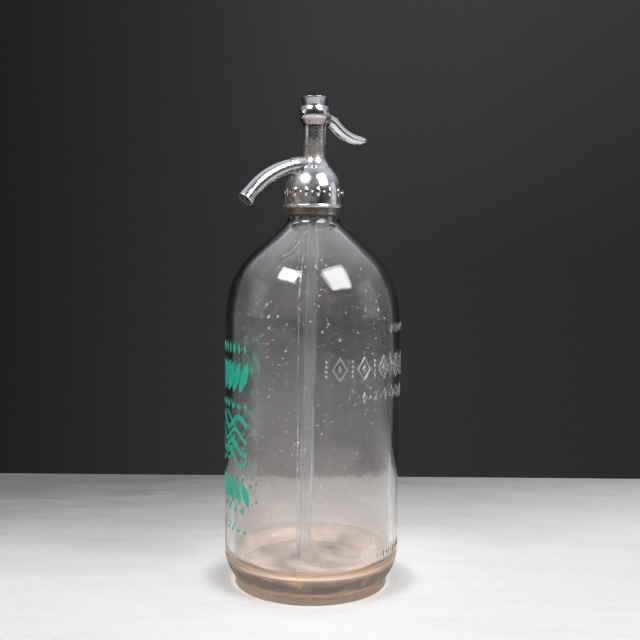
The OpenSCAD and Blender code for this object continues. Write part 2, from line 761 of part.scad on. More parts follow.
// Ring of the wire round a point of the helix, square to the helix
function wire_ring(k, n) =
    let (a = 360 * spring_turns * k / n,
         climb = atan2(pitch, 2 * PI * spring_r),
         out = [cos(a), sin(a), 0],
         up = [sin(a) * sin(climb), -cos(a) * sin(climb), cos(climb)])
    [for (j = [0:wire_sides - 1])
        let (t = 360 * j / wire_sides)
        wire_point(k, n) + wire_d / 2 * (cos(t) * out + sin(t) * up)];

// Ring of an end leg, level, at height z, beside the helix's end at angle a
function leg_ring(a, z, turned) =
    [for (j = [0:wire_sides - 1])
        let (t = 360 * j / wire_sides)
        [spring_r * cos(a), spring_r * sin(a), z]
        + wire_d / 2 * (cos(t) * [cos(a), sin(a), 0]
                        + sin(t) * turned * [sin(a), -cos(a), 0])];

// Least distance between two curls, less the wire: points half a turn or more apart
spring_steps = spring_turns * rings_per_turn;
spring_gaps = [for (i = [0:spring_steps], j = [i + rings_per_turn / 2:1:spring_steps])
    norm(wire_point(i, spring_steps) - wire_point(j, spring_steps)) - wire_d];
echo(spring_least_gap = min(spring_gaps), lever_stroke = lever_stroke,
     height = bulb_top_z + cap_h, spout_tip_z = spout_z);

module valve_spring() {
    end_a = 360 * spring_turns;
    rings = concat(
        [leg_ring(0, spring_low_z, 1)],
        [for (k = [0:spring_steps]) wire_ring(k, spring_steps)],
        [leg_ring(end_a, bush_z, 1)]);
    color(steel) loft(rings);
}

module spring_bush() {
    color(brass) translate([0, 0, bush_z]) difference() {
        cylinder(h = bush_h, r = bush_r, $fn = round_fn);
        translate([0, 0, -over]) cylinder(h = bush_h + 2 * over, r = bush_hole_r,
                                          $fn = round_fn);
        translate([-bush_r - over, -bush_key_w / 2, bush_h - bush_key_h])
            cube([2 * (bush_r + over), bush_key_w, bush_key_h + over]);
    }
}

// ---------------------------------------------------------------- lever

// Length of each part of the lever's path and the whole
root_len = lever_root_r * (lever_slope - root_dip) * PI / 180;
long_len = lever_long_r * lever_slope * PI / 180;
path_len = root_len + long_len + tip_len;

// Point [x, z, dip] of the lever's middle line at the distance s from its root
function lever_line(s) =
    s < root_len
    ? let (dip = root_dip + s / lever_root_r * 180 / PI)
      [root_x + lever_root_r * (sin(dip) - sin(root_dip)),
       root_z - lever_root_r * (cos(root_dip) - cos(dip)), dip]
    : s < root_len + long_len
    ? let (dip = lever_slope - (s - root_len) / lever_long_r * 180 / PI)
      [long_end_x - lever_long_r * sin(dip), tip_z + lever_long_r * (1 - cos(dip)), dip]
    : [long_end_x + s - root_len - long_len, tip_z, 0];

// Share of the full section left by the rounded tip at u, from 0 to 1 along the lever
tip_round = 0.22;
tip_flat = 0.1;                                  // half thickness left at the very tip
function tip_share(u) = sqrt(max(0, 1 - pow(max(0, (u - 1 + tip_round) / tip_round), 2)));
function half_thick(u) = lever_thick * (1 - 0.475 * u * u) * tip_share(u);
function half_wide(u) = lever_wide * (0.74 + 0.26 * sin(90 * min(1, u / 0.7)))
                      * tip_share(u);

lever_sides = 20;
lever_rings = 26;

// Oval ring of the lever at u, square to its path
function lever_ring(u) =
    let (p = lever_line(u * path_len), a = max(tip_flat, half_thick(u)),
         b = max(2 * tip_flat, half_wide(u)))
    [for (j = [0:lever_sides - 1])
        let (t = 360 * j / lever_sides, up = a * cos(t))
        [p[0] + up * sin(p[2]), b * sin(t), p[1] + up * cos(p[2])]];

// Flat tongue from the nose in the spindle's slot to the root of the horn
module tongue() {
    root_half = 2.4;
    rotate([90, 0, 0]) linear_extrude(tongue_w, center = true) {
        translate([0, pin_z]) circle(nose_r, $fn = round_fn / 2);
        translate([pin_arm, pin_z]) circle(hub_r, $fn = round_fn / 2);
        polygon([[0, pin_z + nose_r], [0, pin_z - nose_r],
                 [pin_arm, pin_z - hub_r * 0.9], [root_x + 1, root_z - root_half],
                 [root_x + 1, root_z + root_half], [pin_arm, pin_z + nose_r]]);
    }
}

module lever() {
    // rings crowd together towards the rounded tip
    color(chrome) difference() {
        union() {
            loft([for (i = [0:lever_rings]) lever_ring(sin(90 * pow(i / lever_rings, 0.8)))]);
            tongue();
        }
        translate([pin_arm, 0, pin_z]) rotate([90, 0, 0])
            cylinder(h = 2 * tongue_w, r = pin_r + run_gap, center = true,
                     $fn = round_fn / 2);
    }
}

module lever_pin() {
    color(worn_chrome) translate([pin_arm, 0, pin_z]) rotate([90, 0, 0]) {
        cylinder(h = pin_len, r = pin_r, center = true, $fn = round_fn / 2);
    }
}

module lever_bore_plug() {
    plug_h = bulb_r - chamber_r - plug_gap;
    color(chrome) translate([plug_face_x, 0, pin_z]) rotate([0, 90, 0]) {
        cylinder(h = edge, r1 = plug_r - edge, r2 = plug_r, $fn = round_fn / 2);
        translate([0, 0, edge]) cylinder(h = plug_h - edge, r = plug_r, $fn = round_fn / 2);
    }
}

// ---------------------------------------------------------------- cap

module cap_washer() {
    color(fibre) ring(cap_r - edge, chamber_r + fit_gap, washer_z, washer_h);
}

module top_cap() {
    rim = 0.8;                                   // thickness of the flared rim
    waist_h = 1.2;                               // plain part under the flare
    waist_in = 0.15;                             // the plain part's taper
    coin_w = 1.2;                                // slot that a coin turns
    coin_deep = 0.7;
    rim_z = bulb_top_z + cap_h;
    roof_z = rim_z - cap_dish - cap_roof;
    color(chrome) difference() {
        rotate_extrude($fn = round_fn) difference() {
            union() {
                translate([0, bulb_top_z - cap_thread_h])
                    square([chamber_r - fit_gap, cap_thread_h + over]);
                polygon([[0, bulb_top_z], [cap_r, bulb_top_z],
                         [cap_r - waist_in, bulb_top_z + waist_h],
                         [cap_rim_r, rim_z - rim], [cap_rim_r, rim_z - rim / 2],
                         [0, rim_z - rim / 2]]);
                translate([cap_rim_r - rim / 2, rim_z - rim / 2]) circle(rim / 2, $fn = 32);
                translate([0, rim_z - rim]) square([cap_rim_r - rim / 2, rim]);
            }
            // dish and hollow
            polygon([[0, rim_z - cap_dish], [cap_rim_r - 2 * rim, rim_z - cap_dish],
                     [cap_rim_r - rim, rim_z + over], [0, rim_z + over]]);
            translate([0, bulb_top_z - cap_thread_h - over])
                square([chamber_r - cap_wall, roof_z - bulb_top_z + cap_thread_h + over]);
        }
        // slot for turning the cap, in the floor of the dish
        translate([-cap_r + cap_wall, -coin_w / 2, rim_z - cap_dish - coin_deep])
            cube([2 * (cap_r - cap_wall), coin_w, coin_deep + over]);
    }
}

bottle();
dip_tube();
tube_seal();
tube_nut();
neck_gasket();
neck_cushion();
split_collar_front();
split_collar_rear();
locking_ring();
head_casting();
spout();
valve_seat();
seat_washer();
spindle();
valve_rubber();
valve_screw();
piston_cup();
valve_spring();
spring_bush();
lever();
lever_pin();
lever_bore_plug();
cap_washer();
top_cap();
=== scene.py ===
"""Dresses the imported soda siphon: glass, plating, print, table, lights and camera."""

import math

import bmesh
import bpy
import numpy as np
from bpy.props import FloatProperty, FloatVectorProperty, PointerProperty
from mathutils import Matrix, Vector


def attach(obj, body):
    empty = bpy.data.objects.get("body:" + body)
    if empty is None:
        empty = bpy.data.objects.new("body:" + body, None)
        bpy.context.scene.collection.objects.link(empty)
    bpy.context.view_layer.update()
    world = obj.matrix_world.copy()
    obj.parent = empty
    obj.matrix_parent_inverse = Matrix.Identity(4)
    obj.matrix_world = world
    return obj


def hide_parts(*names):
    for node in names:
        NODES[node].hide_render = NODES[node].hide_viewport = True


bl_info = {
    "name": "Soda siphon looks",
    "version": (1, 0, 0),
    "blender": (4, 5, 0),
    "location": "View3D > Sidebar > Siphon",
    "description": "Builds the finishes, the dressed glass and the studio of a soda siphon",
    "category": "Object",
}

MM = 0.001
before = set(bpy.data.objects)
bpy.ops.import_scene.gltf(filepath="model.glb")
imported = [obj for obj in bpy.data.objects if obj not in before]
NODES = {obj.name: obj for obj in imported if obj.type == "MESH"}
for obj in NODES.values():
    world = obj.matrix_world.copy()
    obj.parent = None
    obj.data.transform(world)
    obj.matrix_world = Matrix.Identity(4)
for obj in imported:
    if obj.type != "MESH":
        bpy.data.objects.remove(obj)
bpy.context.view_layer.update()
BASE_BODY = "siphon"

# Directions round the bottle, in degrees from +X
PRINT_CENTRE = 146.0
EMBOSS_CENTRE = 286.0
SEAM_FRONT = 227.0

# Driving sizes of the bottle in mm, the same as the solid's, with the floor 2 mm higher
WALL_R, WALL_TOP_Z, GLASS_WALL, FLOOR_Z, PUSH_UP = 53.0, 159.0, 5.5, 14.0, 3.0
HEEL_R, HEEL_Z, INNER_HEEL_R = 24.0, 22.0, 10.0
FOOT_R, FOOT_H, NOTCH_W, NOTCH_DEEP = 46.8, 5.6, 1.4, 0.8
UPPER_R, UPPER_TURN = 90.0, 11.0
SHOULDER_R, SHOULDER_SLOPE, NECK_FILLET_R = 48.0, 49.5, 8.0
NECK_R, BORE_R, GROOVE_R, LIP_R = 15.3, 9.2, 12.6, 14.2
SHELF_DROP, GROOVE_H, LIP_H = 0.6, 6.5, 5.4
EDGE = 0.4

# Worked out from them
UPPER_X = WALL_R - UPPER_R
SHOULDER_X = UPPER_X + (UPPER_R - SHOULDER_R) * math.cos(math.radians(UPPER_TURN))
SHOULDER_Z = WALL_TOP_Z + (UPPER_R - SHOULDER_R) * math.sin(math.radians(UPPER_TURN))

# The head in mm: a skirt, with a dome that starts at DOME_Z
SKIRT_R, DOME_Z, DOME_X, DOME_R = 17.8, 237.27, -4.2, 22.0
MARK_Z, MARK_COUNT = 238.2, 30

# Camera of the photograph: degrees and mm, and its lens in pixels of a 640-pixel picture
CAMERA_TURN, CAMERA_TILT, CAMERA_ROLL = 35.0, 3.833, 0.5143
CAMERA_RIGHT, CAMERA_BACK, CAMERA_UP = 4.379, 579.744, 200.262
FOCAL_PX, PICTURE_PX, SENSOR = 951.998, 640.0, 36.0
SKY = Vector((0, 0, 1))

# Table and lamps in metres: where the table ends beside, before and behind the siphon
TABLE_SIDE, TABLE_FRONT, TABLE_BACK, TABLE_THICK = 2.2, -1.6, 0.278, 0.02
LAMP_AIM = Vector((0, 0, 0.20))


# ---------------------------------------- settings

class SiphonGlassSettings(bpy.types.PropertyGroup):
    """Sizes and colours of the bottle."""
    tint: FloatVectorProperty(
        name="Glass tint", description="Colour that the wall gives to light",
        subtype="COLOR", size=3, min=0, max=1, default=(0.97, 0.94, 0.92))
    heel_tint: FloatVectorProperty(
        name="Heel tint", description="Colour of the thick glass at the heel",
        subtype="COLOR", size=3, min=0, max=1, default=(0.90, 0.64, 0.42))
    emboss_height: FloatProperty(
        name="Emboss height", description="How far the raised marks stand out",
        unit="LENGTH", min=0, max=0.001, default=0.70 * MM)
    seam_height: FloatProperty(
        name="Seam height", description="How far the mould seam stands out",
        unit="LENGTH", min=0, max=0.0005, default=0.15 * MM)
    haze: FloatProperty(
        name="Haze", description="Share of the inside that mineral haze covers",
        min=0, max=1, default=0.003)


class SiphonPrintSettings(bpy.types.PropertyGroup):
    """Enamel print on the spout's side of the bottle."""
    enamel: FloatVectorProperty(
        name="Enamel", description="Colour of the printed enamel",
        subtype="COLOR", size=3, min=0, max=1, default=(0.02, 0.46, 0.33))
    thickness: FloatProperty(
        name="Thickness", description="Thickness of the enamel on the glass",
        unit="LENGTH", min=0, max=0.0005, default=0.09 * MM)


class SiphonPlatingSettings(bpy.types.PropertyGroup):
    """Worn plating of the head."""
    chrome: FloatVectorProperty(
        name="Plating", description="Colour of clean plating",
        subtype="COLOR", size=3, min=0, max=1, default=(0.80, 0.80, 0.81))
    tarnish: FloatVectorProperty(
        name="Tarnish", description="Colour of brown tarnish",
        subtype="COLOR", size=3, min=0, max=1, default=(0.16, 0.085, 0.045))
    pit_depth: FloatProperty(
        name="Pit depth", description="Depth of the pits in the plating",
        unit="LENGTH", min=0, max=0.0005, default=0.014 * MM)


class SiphonStageSettings(bpy.types.PropertyGroup):
    """Table, backdrop and lamps."""
    table: FloatVectorProperty(
        name="Table", description="Colour of the table in front",
        subtype="COLOR", size=3, min=0, max=1, default=(0.765, 0.765, 0.775))
    # painted shade at the back of the table
    table_back_shade: FloatVectorProperty(
        name="Back shade of table", description="Colour of the painted shade at the table's back edge",
        subtype="COLOR", size=3, min=0, max=1, default=(0.20, 0.19, 0.185))
    backdrop: FloatVectorProperty(
        name="Backdrop", description="Colour behind the table",
        subtype="COLOR", size=3, min=0, max=1, default=(0.034, 0.0325, 0.0345))
    key_watts: FloatProperty(
        name="Left softbox", description="Power of the left softbox", min=0, max=100,
        default=7.0)
    fill_watts: FloatProperty(
        name="Right softbox", description="Power of the right softbox", min=0, max=100,
        default=10.5)
    room: FloatProperty(
        name="Room", description="Brightness of the ceiling that the plating mirrors",
        min=0, max=5, default=0.58)


# ---------------------------------------- meshes

def add_object(name, mesh, material, smooth_angle):
    """Links a mesh, smooth apart from edges sharper than smooth_angle degrees."""
    for polygon in mesh.polygons:
        polygon.use_smooth = True
    mesh.set_sharp_from_angle(angle=math.radians(smooth_angle))
    mesh.materials.append(material)
    obj = bpy.data.objects.new(name, mesh)
    bpy.context.scene.collection.objects.link(obj)
    return obj


def add_mesh(name, verts, faces, material, smooth_angle=32.0):
    mesh = bpy.data.meshes.new(name)
    mesh.from_pydata([tuple(v) for v in verts], [], faces)
    mesh.update()
    mesh.validate()
    return add_object(name, mesh, material, smooth_angle)


def add_bmesh(name, bm, material, smooth_angle):
    bmesh.ops.recalc_face_normals(bm, faces=bm.faces)
    mesh = bpy.data.meshes.new(name)
    bm.to_mesh(mesh)
    bm.free()
    return add_object(name, mesh, material, smooth_angle)


def on_circle(r, angle, z):
    """The point in metres at r and z in mm, at an angle in radians round the siphon."""
    return (r * math.cos(angle) * MM, r * math.sin(angle) * MM, z * MM)


def ring_faces(a, b, n):
    """Quads between two rings of n vertices that start at a and at b."""
    return [(a + j, a + (j + 1) % n, b + (j + 1) % n, b + j) for j in range(n)]


def fan_faces(pole, ring, n):
    """Triangles between one vertex and a ring of n vertices."""
    return [(pole, ring + j, ring + (j + 1) % n) for j in range(n)]


def turned(faces):
    """The same faces, facing the other way."""
    return [face[::-1] for face in faces]


def arc_points(cx, cz, r, a, b, n):
    return [(cx + r * math.cos(math.radians(a + (b - a) * i / n)),
             cz + r * math.sin(math.radians(a + (b - a) * i / n))) for i in range(n + 1)]


def resample(points, coarse, fine=None, dense_ranges=()):
    """Adds points along a profile: at most fine apart in the dense z ranges, coarse elsewhere."""
    out = [points[0]]
    for (r0, z0), (r1, z1) in zip(points[:-1], points[1:]):
        low, high = min(z0, z1), max(z0, z1)
        dense = any(low < top and high > bottom for bottom, top in dense_ranges)
        n = max(1, math.ceil(math.hypot(r1 - r0, z1 - z0) / (fine if dense else coarse)))
        for i in range(1, n + 1):
            out.append((r0 + (r1 - r0) * i / n, z0 + (z1 - z0) * i / n))
    return out


# ---------------------------------------- shader helpers

def rgba(c):
    """A colour with full alpha, from a colour or from one grey value."""
    if isinstance(c, (int, float)):
        return (c, c, c, 1.0)
    return tuple(c)[:3] + (1.0,)


class Value:
    """A socket with sums: each sum adds a math node."""

    def __init__(self, tree, socket):
        self.tree, self.socket = tree, socket

    def __add__(self, other):
        return self.tree.math("ADD", self, other)

    def __mul__(self, other):
        return self.tree.math("MULTIPLY", self, other)

    def __sub__(self, other):
        return self.tree.math("SUBTRACT", self, other)

    def __rsub__(self, other):
        return self.tree.math("SUBTRACT", other, self)

    def __truediv__(self, other):
        return self.tree.math("DIVIDE", self, other)

    def __gt__(self, other):
        return self.tree.math("GREATER_THAN", self, other)

    def __lt__(self, other):
        return self.tree.math("LESS_THAN", self, other)

    __radd__ = __add__

    def clamped(self):
        """Keeps the value between 0 and 1."""
        self.socket.node.use_clamp = True
        return self

    def rising(self, start, width):
        """0 up to start, and 1 from start + width on."""
        return ((self - start) / width).clamped()

    def falling(self, end, width):
        """1 up to end - width, and 0 from end on."""
        return ((end - self) / width).clamped()

    def patches(self, floor, gain):
        """What stands above floor, made stronger by gain and kept between 0 and 1."""
        return ((self - floor) * gain).clamped()


class Tree:
    """Adds and links shader nodes."""

    def __init__(self, tree):
        self.tree = tree

    def add(self, kind, **values):
        n = self.tree.nodes.new(kind)
        for key, value in values.items():
            setattr(n, key, value)
        return n

    def put(self, value, socket):
        """Sets a socket to a plain value, or links it."""
        if isinstance(value, Value):
            value = value.socket
        if isinstance(value, bpy.types.NodeSocket):
            self.tree.links.new(value, socket)
        elif socket.type == "RGBA":
            socket.default_value = rgba(value)
        else:
            socket.default_value = value

    def math(self, operation, a, b):
        n = self.add("ShaderNodeMath", operation=operation)
        self.put(a, n.inputs[0])
        self.put(b, n.inputs[1])
        return Value(self, n.outputs[0])

    def most(self, a, b):
        return self.math("MAXIMUM", a, b)

    def vector(self, operation, a, b=None):
        n = self.add("ShaderNodeVectorMath", operation=operation)
        self.put(a, n.inputs[0])
        if b is not None:
            self.put(b, n.inputs[1])
        return n

    def scaled(self, vector, scale):
        return self.vector("MULTIPLY", vector, scale).outputs[0]

    def dot(self, vector, axis):
        return Value(self, self.vector("DOT_PRODUCT", vector, axis).outputs["Value"])

    def split(self, vector):
        """X, Y and Z of a vector."""
        n = self.add("ShaderNodeSeparateXYZ")
        self.put(vector, n.inputs[0])
        return [Value(self, s) for s in n.outputs]

    def noise(self, vector, scale, detail=3.0, roughness=0.55, distortion=0.0):
        n = self.add("ShaderNodeTexNoise")
        for label, value in (("Scale", scale), ("Detail", detail), ("Roughness", roughness),
                             ("Distortion", distortion), ("Vector", vector)):
            self.put(value, n.inputs[label])
        return Value(self, n.outputs["Fac"])

    def ramp(self, value, stops):
        n = self.add("ShaderNodeValToRGB")
        elements = n.color_ramp.elements
        elements.remove(elements[-1])
        elements[0].position, elements[0].color = stops[0][0], rgba(stops[0][1])
        for place, colour in stops[1:]:
            elements.new(place).color = rgba(colour)
        self.put(value, n.inputs["Fac"])
        return Value(self, n.outputs["Color"])

    def mix(self, factor, a, b, blend="MIX"):
        n = self.add("ShaderNodeMix", data_type="RGBA", blend_type=blend)
        for value, socket in ((factor, n.inputs[0]), (a, n.inputs[6]), (b, n.inputs[7])):
            self.put(value, socket)
        return Value(self, n.outputs[2])

    def mix_shaders(self, factor, a, b):
        n = self.add("ShaderNodeMixShader")
        for value, socket in zip((factor, a.outputs[0], b.outputs[0]), n.inputs):
            self.put(value, socket)
        return n.outputs[0]

    def light_path(self, *labels):
        n = self.add("ShaderNodeLightPath")
        return [Value(self, n.outputs[label]) for label in labels]


def new_group(name, inputs, outputs):
    """A shader group, its tree, its inputs as values and its outputs' sockets, by name."""
    group = bpy.data.node_groups.new(name, "ShaderNodeTree")
    for label, default in inputs.items():
        kind = "NodeSocketFloat" if isinstance(default, float) else "NodeSocketVector"
        socket = group.interface.new_socket(label, in_out="INPUT", socket_type=kind)
        if default is not None:
            socket.default_value = default
    for label in outputs:
        group.interface.new_socket(label, in_out="OUTPUT", socket_type="NodeSocketFloat")
    t = Tree(group)
    given = t.add("NodeGroupInput").outputs
    return group, t, {label: Value(t, given[label]) for label in inputs}, \
        t.add("NodeGroupOutput").inputs


def plating_wear_group():
    """Pits and mottling of old plating."""
    group, t, given, out = new_group(
        "Plating Wear", {"Vector": None, "Pits": 0.3, "Mottle": 0.3},
        ("Pit Mask", "Dull Mask", "Height"))
    v = given["Vector"]
    coarse = t.noise(v, 900, 4, 0.62, 0.6)
    fine = t.noise(v, 2600, 3, 0.6)
    patch = t.noise(v, 95, 3, 0.5, 0.4)
    # more pits where the patch noise is high
    limit = 0.74 - given["Pits"] * (0.18 + patch * 0.30)
    pits = (coarse * 0.62 + fine * 0.38).patches(limit, 22.0)
    dull = t.noise(v, 240, 5, 0.65).patches(0.47, 5.0) * given["Mottle"]
    t.put(pits, out["Pit Mask"])
    t.put(dull, out["Dull Mask"])
    t.put(coarse * 0.35 - pits * 0.65, out["Height"])
    return group


def tarnish_group():
    """Brown stain that gathers round a point, such as a joint or a corner."""
    group, t, given, out = new_group(
        "Brown Tarnish",
        {"Vector": None, "Centre": (0.0, 0.0, 0.0), "Reach": 0.01, "Amount": 1.0}, ("Mask",))
    v = given["Vector"]
    away = Value(t, t.vector("DISTANCE", v, given["Centre"]).outputs["Value"])
    near = (1.0 - away / given["Reach"]).clamped()
    broken = t.noise(v, 380, 5, 0.7, 0.5).patches(0.30, 2.6)
    t.put((near * broken * (given["Amount"] * 1.8)).clamped(), out["Mask"])
    return group


def deposit_group():
    """Mineral haze, runs and specks on old glass."""
    group, t, given, out = new_group(
        "Glass Deposit", {"Vector": None, "Haze": 0.1, "Runs": 0.1, "Specks": 0.5}, ("Mask",))
    v = given["Vector"]
    cloud = t.noise(v, 28, 6, 0.62, 0.8).patches(0.30, 2.2)
    grain = t.noise(v, 900, 3, 0.7) * 1.1 + 0.45
    haze = cloud * grain * given["Haze"]
    runs = t.noise(t.scaled(v, (1.0, 1.0, 0.05)), 420, 4, 0.7).patches(0.56, 6.0)
    # specks: some cells hold one, and more do where crowd is high
    crowd = (t.noise(v, 20, 3, 0.6) - 0.5) * 0.5
    layers = []
    for scale, least, gain in ((400, 0.86, 1.7), (700, 0.80, 1.2)):
        cells = t.add("ShaderNodeTexVoronoi", feature="F1")
        t.put(scale, cells.inputs["Scale"])
        t.put(v, cells.inputs["Vector"])
        chance = t.add("ShaderNodeSeparateColor")
        t.put(cells.outputs["Color"], chance.inputs[0])
        size = (Value(t, chance.outputs[0]) + crowd - least) * gain
        layers.append(size > Value(t, cells.outputs["Distance"]))
    specks = t.most(*layers) * given["Specks"]
    t.put(t.most(haze + runs * given["Runs"], specks).clamped(), out["Mask"])
    return group


GROUP_MAKERS = {"Plating Wear": plating_wear_group, "Brown Tarnish": tarnish_group,
                "Glass Deposit": deposit_group}
GROUPS = {}


class Look(Tree):
    """A material with one Principled shader; place is where a point is on the object."""

    def __init__(self, name):
        self.material = bpy.data.materials.new(name)
        self.material.use_nodes = True
        self.material.node_tree.nodes.clear()
        super().__init__(self.material.node_tree)
        self.shader = self.add("ShaderNodeBsdfPrincipled")
        self.surface = self.add("ShaderNodeOutputMaterial").inputs["Surface"]
        self.put(self.shader.outputs[0], self.surface)
        self.place = self.add("ShaderNodeTexCoord").outputs["Object"]

    def set(self, **values):
        """Sets or links the shader's sockets, such as Base_Color."""
        for label, value in values.items():
            self.put(value, self.shader.inputs[label.replace("_", " ")])

    def shared(self, name, **values):
        """Places a shared group, which is built once, with this material's values."""
        if name not in GROUPS:
            GROUPS[name] = GROUP_MAKERS[name]()
        n = self.add("ShaderNodeGroup", node_tree=GROUPS[name])
        self.put(self.place, n.inputs["Vector"])
        for label, value in values.items():
            self.put(value, n.inputs[label])
        return {s.name: Value(self, s) for s in n.outputs}

    def bump(self, height, distance, strength=1.0):
        n = self.add("ShaderNodeBump")
        n.inputs["Strength"].default_value = strength
        n.inputs["Distance"].default_value = distance
        self.put(height, n.inputs["Height"])
        self.put(n.outputs["Normal"], self.shader.inputs["Normal"])

    def between(self, low, high, soft):
        """1 between the heights low and high, fading over soft; all in mm."""
        z = self.split(self.place)[2]
        return z.rising(low * MM, soft * MM) * z.falling(high * MM, soft * MM)

    def clear_shadow(self, share):
        """Lets light through to what lies behind the glass, as real glass does."""
        clear = self.add("ShaderNodeBsdfTransparent")
        self.put(share, clear.inputs["Color"])
        for_shadows, = self.light_path("Is Shadow Ray")
        self.put(self.mix_shaders(for_shadows, self.shader, clear), self.surface)


# ---------------------------------------- materials

def plating_material(name, pits, mottle, stains_and_reflections=(), base=None, roughness=0.14, zone=None,
                     table_reflection_band=None):
    """Worn chrome. stains: (centre in mm, reach in mm, amount) of brown tarnish, partly painted
    reflection; zone: (low z, high z, pits);
    band: (low z, high z, amount) of a dull pinkish ring, painted reflection of the table on the
    bulb's underside."""
    plating = bpy.context.scene.siphon_plating
    t = Look(name)
    if zone is not None:
        low, high, zone_pits = zone
        pits = t.between(low, high, 3.0) * (zone_pits - pits) + pits
    wear = t.shared("Plating Wear", Pits=pits, Mottle=mottle)
    pit_mask, dull_mask = wear["Pit Mask"], wear["Dull Mask"]
    clean = tuple(base or plating.chrome)
    colour = t.mix(dull_mask, clean, tuple(0.50 * c for c in clean))
    colour = t.mix(pit_mask * 0.8, colour, (0.10, 0.10, 0.105))
    if table_reflection_band is not None:
        low, high, amount = table_reflection_band
        # painted reflection: a dull pinkish ring where the bulb's underside mirrors the table
        colour = t.mix(t.between(low, high, 1.2) * amount, colour, (0.36, 0.29, 0.27))
    rough = dull_mask * 0.10 + roughness + pit_mask * 0.30
    stained, metallic = None, 1.0
    for centre, reach, amount in stains_and_reflections:
        stain = t.shared("Brown Tarnish", Centre=tuple(c * MM for c in centre),
                         Reach=reach * MM, Amount=amount)["Mask"]
        stained = stain if stained is None else t.most(stained, stain)
    if stained is not None:
        colour = t.mix(stained, colour, tuple(plating.tarnish))
        rough = rough + stained * 0.30
        metallic = 1.0 - stained * 0.6
    t.set(Base_Color=colour, Metallic=metallic, Roughness=t.math("MINIMUM", rough, 0.9))
    t.bump(wear["Height"], plating.pit_depth)
    return t.material


def rubber_material():
    t = Look("Old rubber")
    spots = t.noise(t.place, 700, 4, 0.65)
    t.set(Roughness=spots * 0.35 + 0.5, Base_Color=t.ramp(
        spots, [(0.3, (0.012, 0.011, 0.010)), (0.7, (0.045, 0.038, 0.032))]))
    t.bump(spots, 0.05 * MM)
    return t.material


def brass_material():
    t = Look("Aged brass")
    spots = t.noise(t.place, 260, 5, 0.65, 0.4)
    t.set(Metallic=1.0, Roughness=0.62 - spots * 0.42, Base_Color=t.ramp(
        spots, [(0.30, (0.16, 0.095, 0.04)), (0.5, (0.50, 0.34, 0.13)),
                (0.72, (0.68, 0.50, 0.23))]))
    t.bump(t.noise(t.scaled(t.place, (0.2, 0.2, 4.0)), 900, 2, 0.5), 0.02 * MM)
    return t.material


def fibre_material():
    t = Look("Red fibre")
    spots = t.noise(t.place, 900, 4, 0.7)
    t.set(Roughness=0.8, Base_Color=t.ramp(
        spots, [(0.3, (0.10, 0.025, 0.015)), (0.7, (0.30, 0.09, 0.05))]))
    t.bump(spots, 0.03 * MM)
    return t.material


def bottle_glass_material(name, roughness, wave, clear=1.0, grime_and_shade=0.0):
    """Pressed glass. roughness: of the polished parts; wave: slow ripples in mm;
    clear: share that isn't rubbed white; grime: share of the heel ring that is dirty glass and
    painted shade, with painted orange glints."""
    glass = bpy.context.scene.siphon_glass
    t = Look(name)
    z = t.split(t.place)[2]
    away = Value(t, t.vector("LENGTH", t.scaled(t.place, (1.0, 1.0, 0.0))).outputs["Value"])
    heel = z.falling(18 * MM, 10 * MM) * away.rising(38 * MM, 4 * MM)
    colour = t.mix(heel, tuple(glass.tint), tuple(glass.heel_tint))
    if grime_and_shade:
        # painted shade on the heel ring, where the dark room shows through the glass, mixed with
        # dirty glass; the orange stop is a painted glint
        patchy = t.noise(t.place, 190, 5, 0.7) * 1.1 + 0.45
        dirt_and_shade = (t.between(6.6, 16.6, 1.2) * (patchy * grime_and_shade)).clamped()
        colour = t.mix(dirt_and_shade, colour, t.ramp(t.noise(t.place, 75, 3, 0.6), [
            (0.35, (0.34, 0.30, 0.29)), (0.60, (0.46, 0.38, 0.34)), (0.72, (0.80, 0.50, 0.26))]))
    # scuffed zones, vertical rubs and a worn foot
    scuff = t.noise(t.place, 55, 6, 0.68, 0.5).patches(0.52, 2.4)
    rub = t.noise(t.scaled(t.place, (1.0, 1.0, 0.06)), 500, 4, 0.7).patches(0.60, 5.0)
    foot = z.falling(6.5 * MM, 3 * MM)
    t.set(Base_Color=colour, Transmission_Weight=clear, IOR=1.5,
          Roughness=scuff * 0.09 + rub * 0.12 + foot * 0.28 + roughness)
    slow = t.noise(t.scaled(t.place, (1.0, 1.0, 0.45)), 34, 2, 0.4)
    t.bump(slow + t.noise(t.place, 260, 3, 0.6) * 0.05, wave * MM)
    t.clear_shadow((0.985, 0.975, 0.965))
    return t.material


def haze_and_light_material():
    """Haze of mineral scale: bluish high up, warm low down and thick at the neck; thick on the
    floor too, partly as painted light that stands in for light through the base.
    """
    glass = bpy.context.scene.siphon_glass
    t = Look("Mineral haze and painted light")
    z = t.split(t.place)[2]
    low = z.falling(100 * MM, 75 * MM)
    # partly painted light: the thick floor coat stands in for light that comes through the base
    floor = z.falling((FLOOR_Z + 9.0) * MM, 6 * MM)
    neck = z.rising(192 * MM, 22 * MM)
    side = t.dot(t.place, view_axes()[0] * (-1.0 / (WALL_R * MM)))
    # the haze is thicker below a line that dips in the middle of the front
    across = side / (MM / WALL_R)
    haze_edge = across * across * 6e-6 + 74 * MM + t.noise(t.place, 40, 4, 0.6) * (4 * MM)
    below = ((haze_edge - z) / (5 * MM)).clamped()
    haze = low * 0.075 + glass.haze + below * 0.030 + t.most(side, 0.0) * 0.022 \
        + neck * 0.055 + floor * 0.30
    coat = t.shared("Glass Deposit", Haze=haze, Runs=0.012, Specks=0.46)
    stain = t.shared("Brown Tarnish", Centre=(-13.5 * MM, -45.5 * MM, 47.0 * MM),
                     Reach=9 * MM, Amount=0.55)["Mask"]
    colour = t.mix(low, (0.68, 0.68, 0.73), (0.94, 0.80, 0.71))
    t.set(Base_Color=t.mix(stain, colour, (0.55, 0.24, 0.07)), Roughness=0.85,
          Alpha=t.most(coat["Mask"], stain * 0.5))
    return t.material


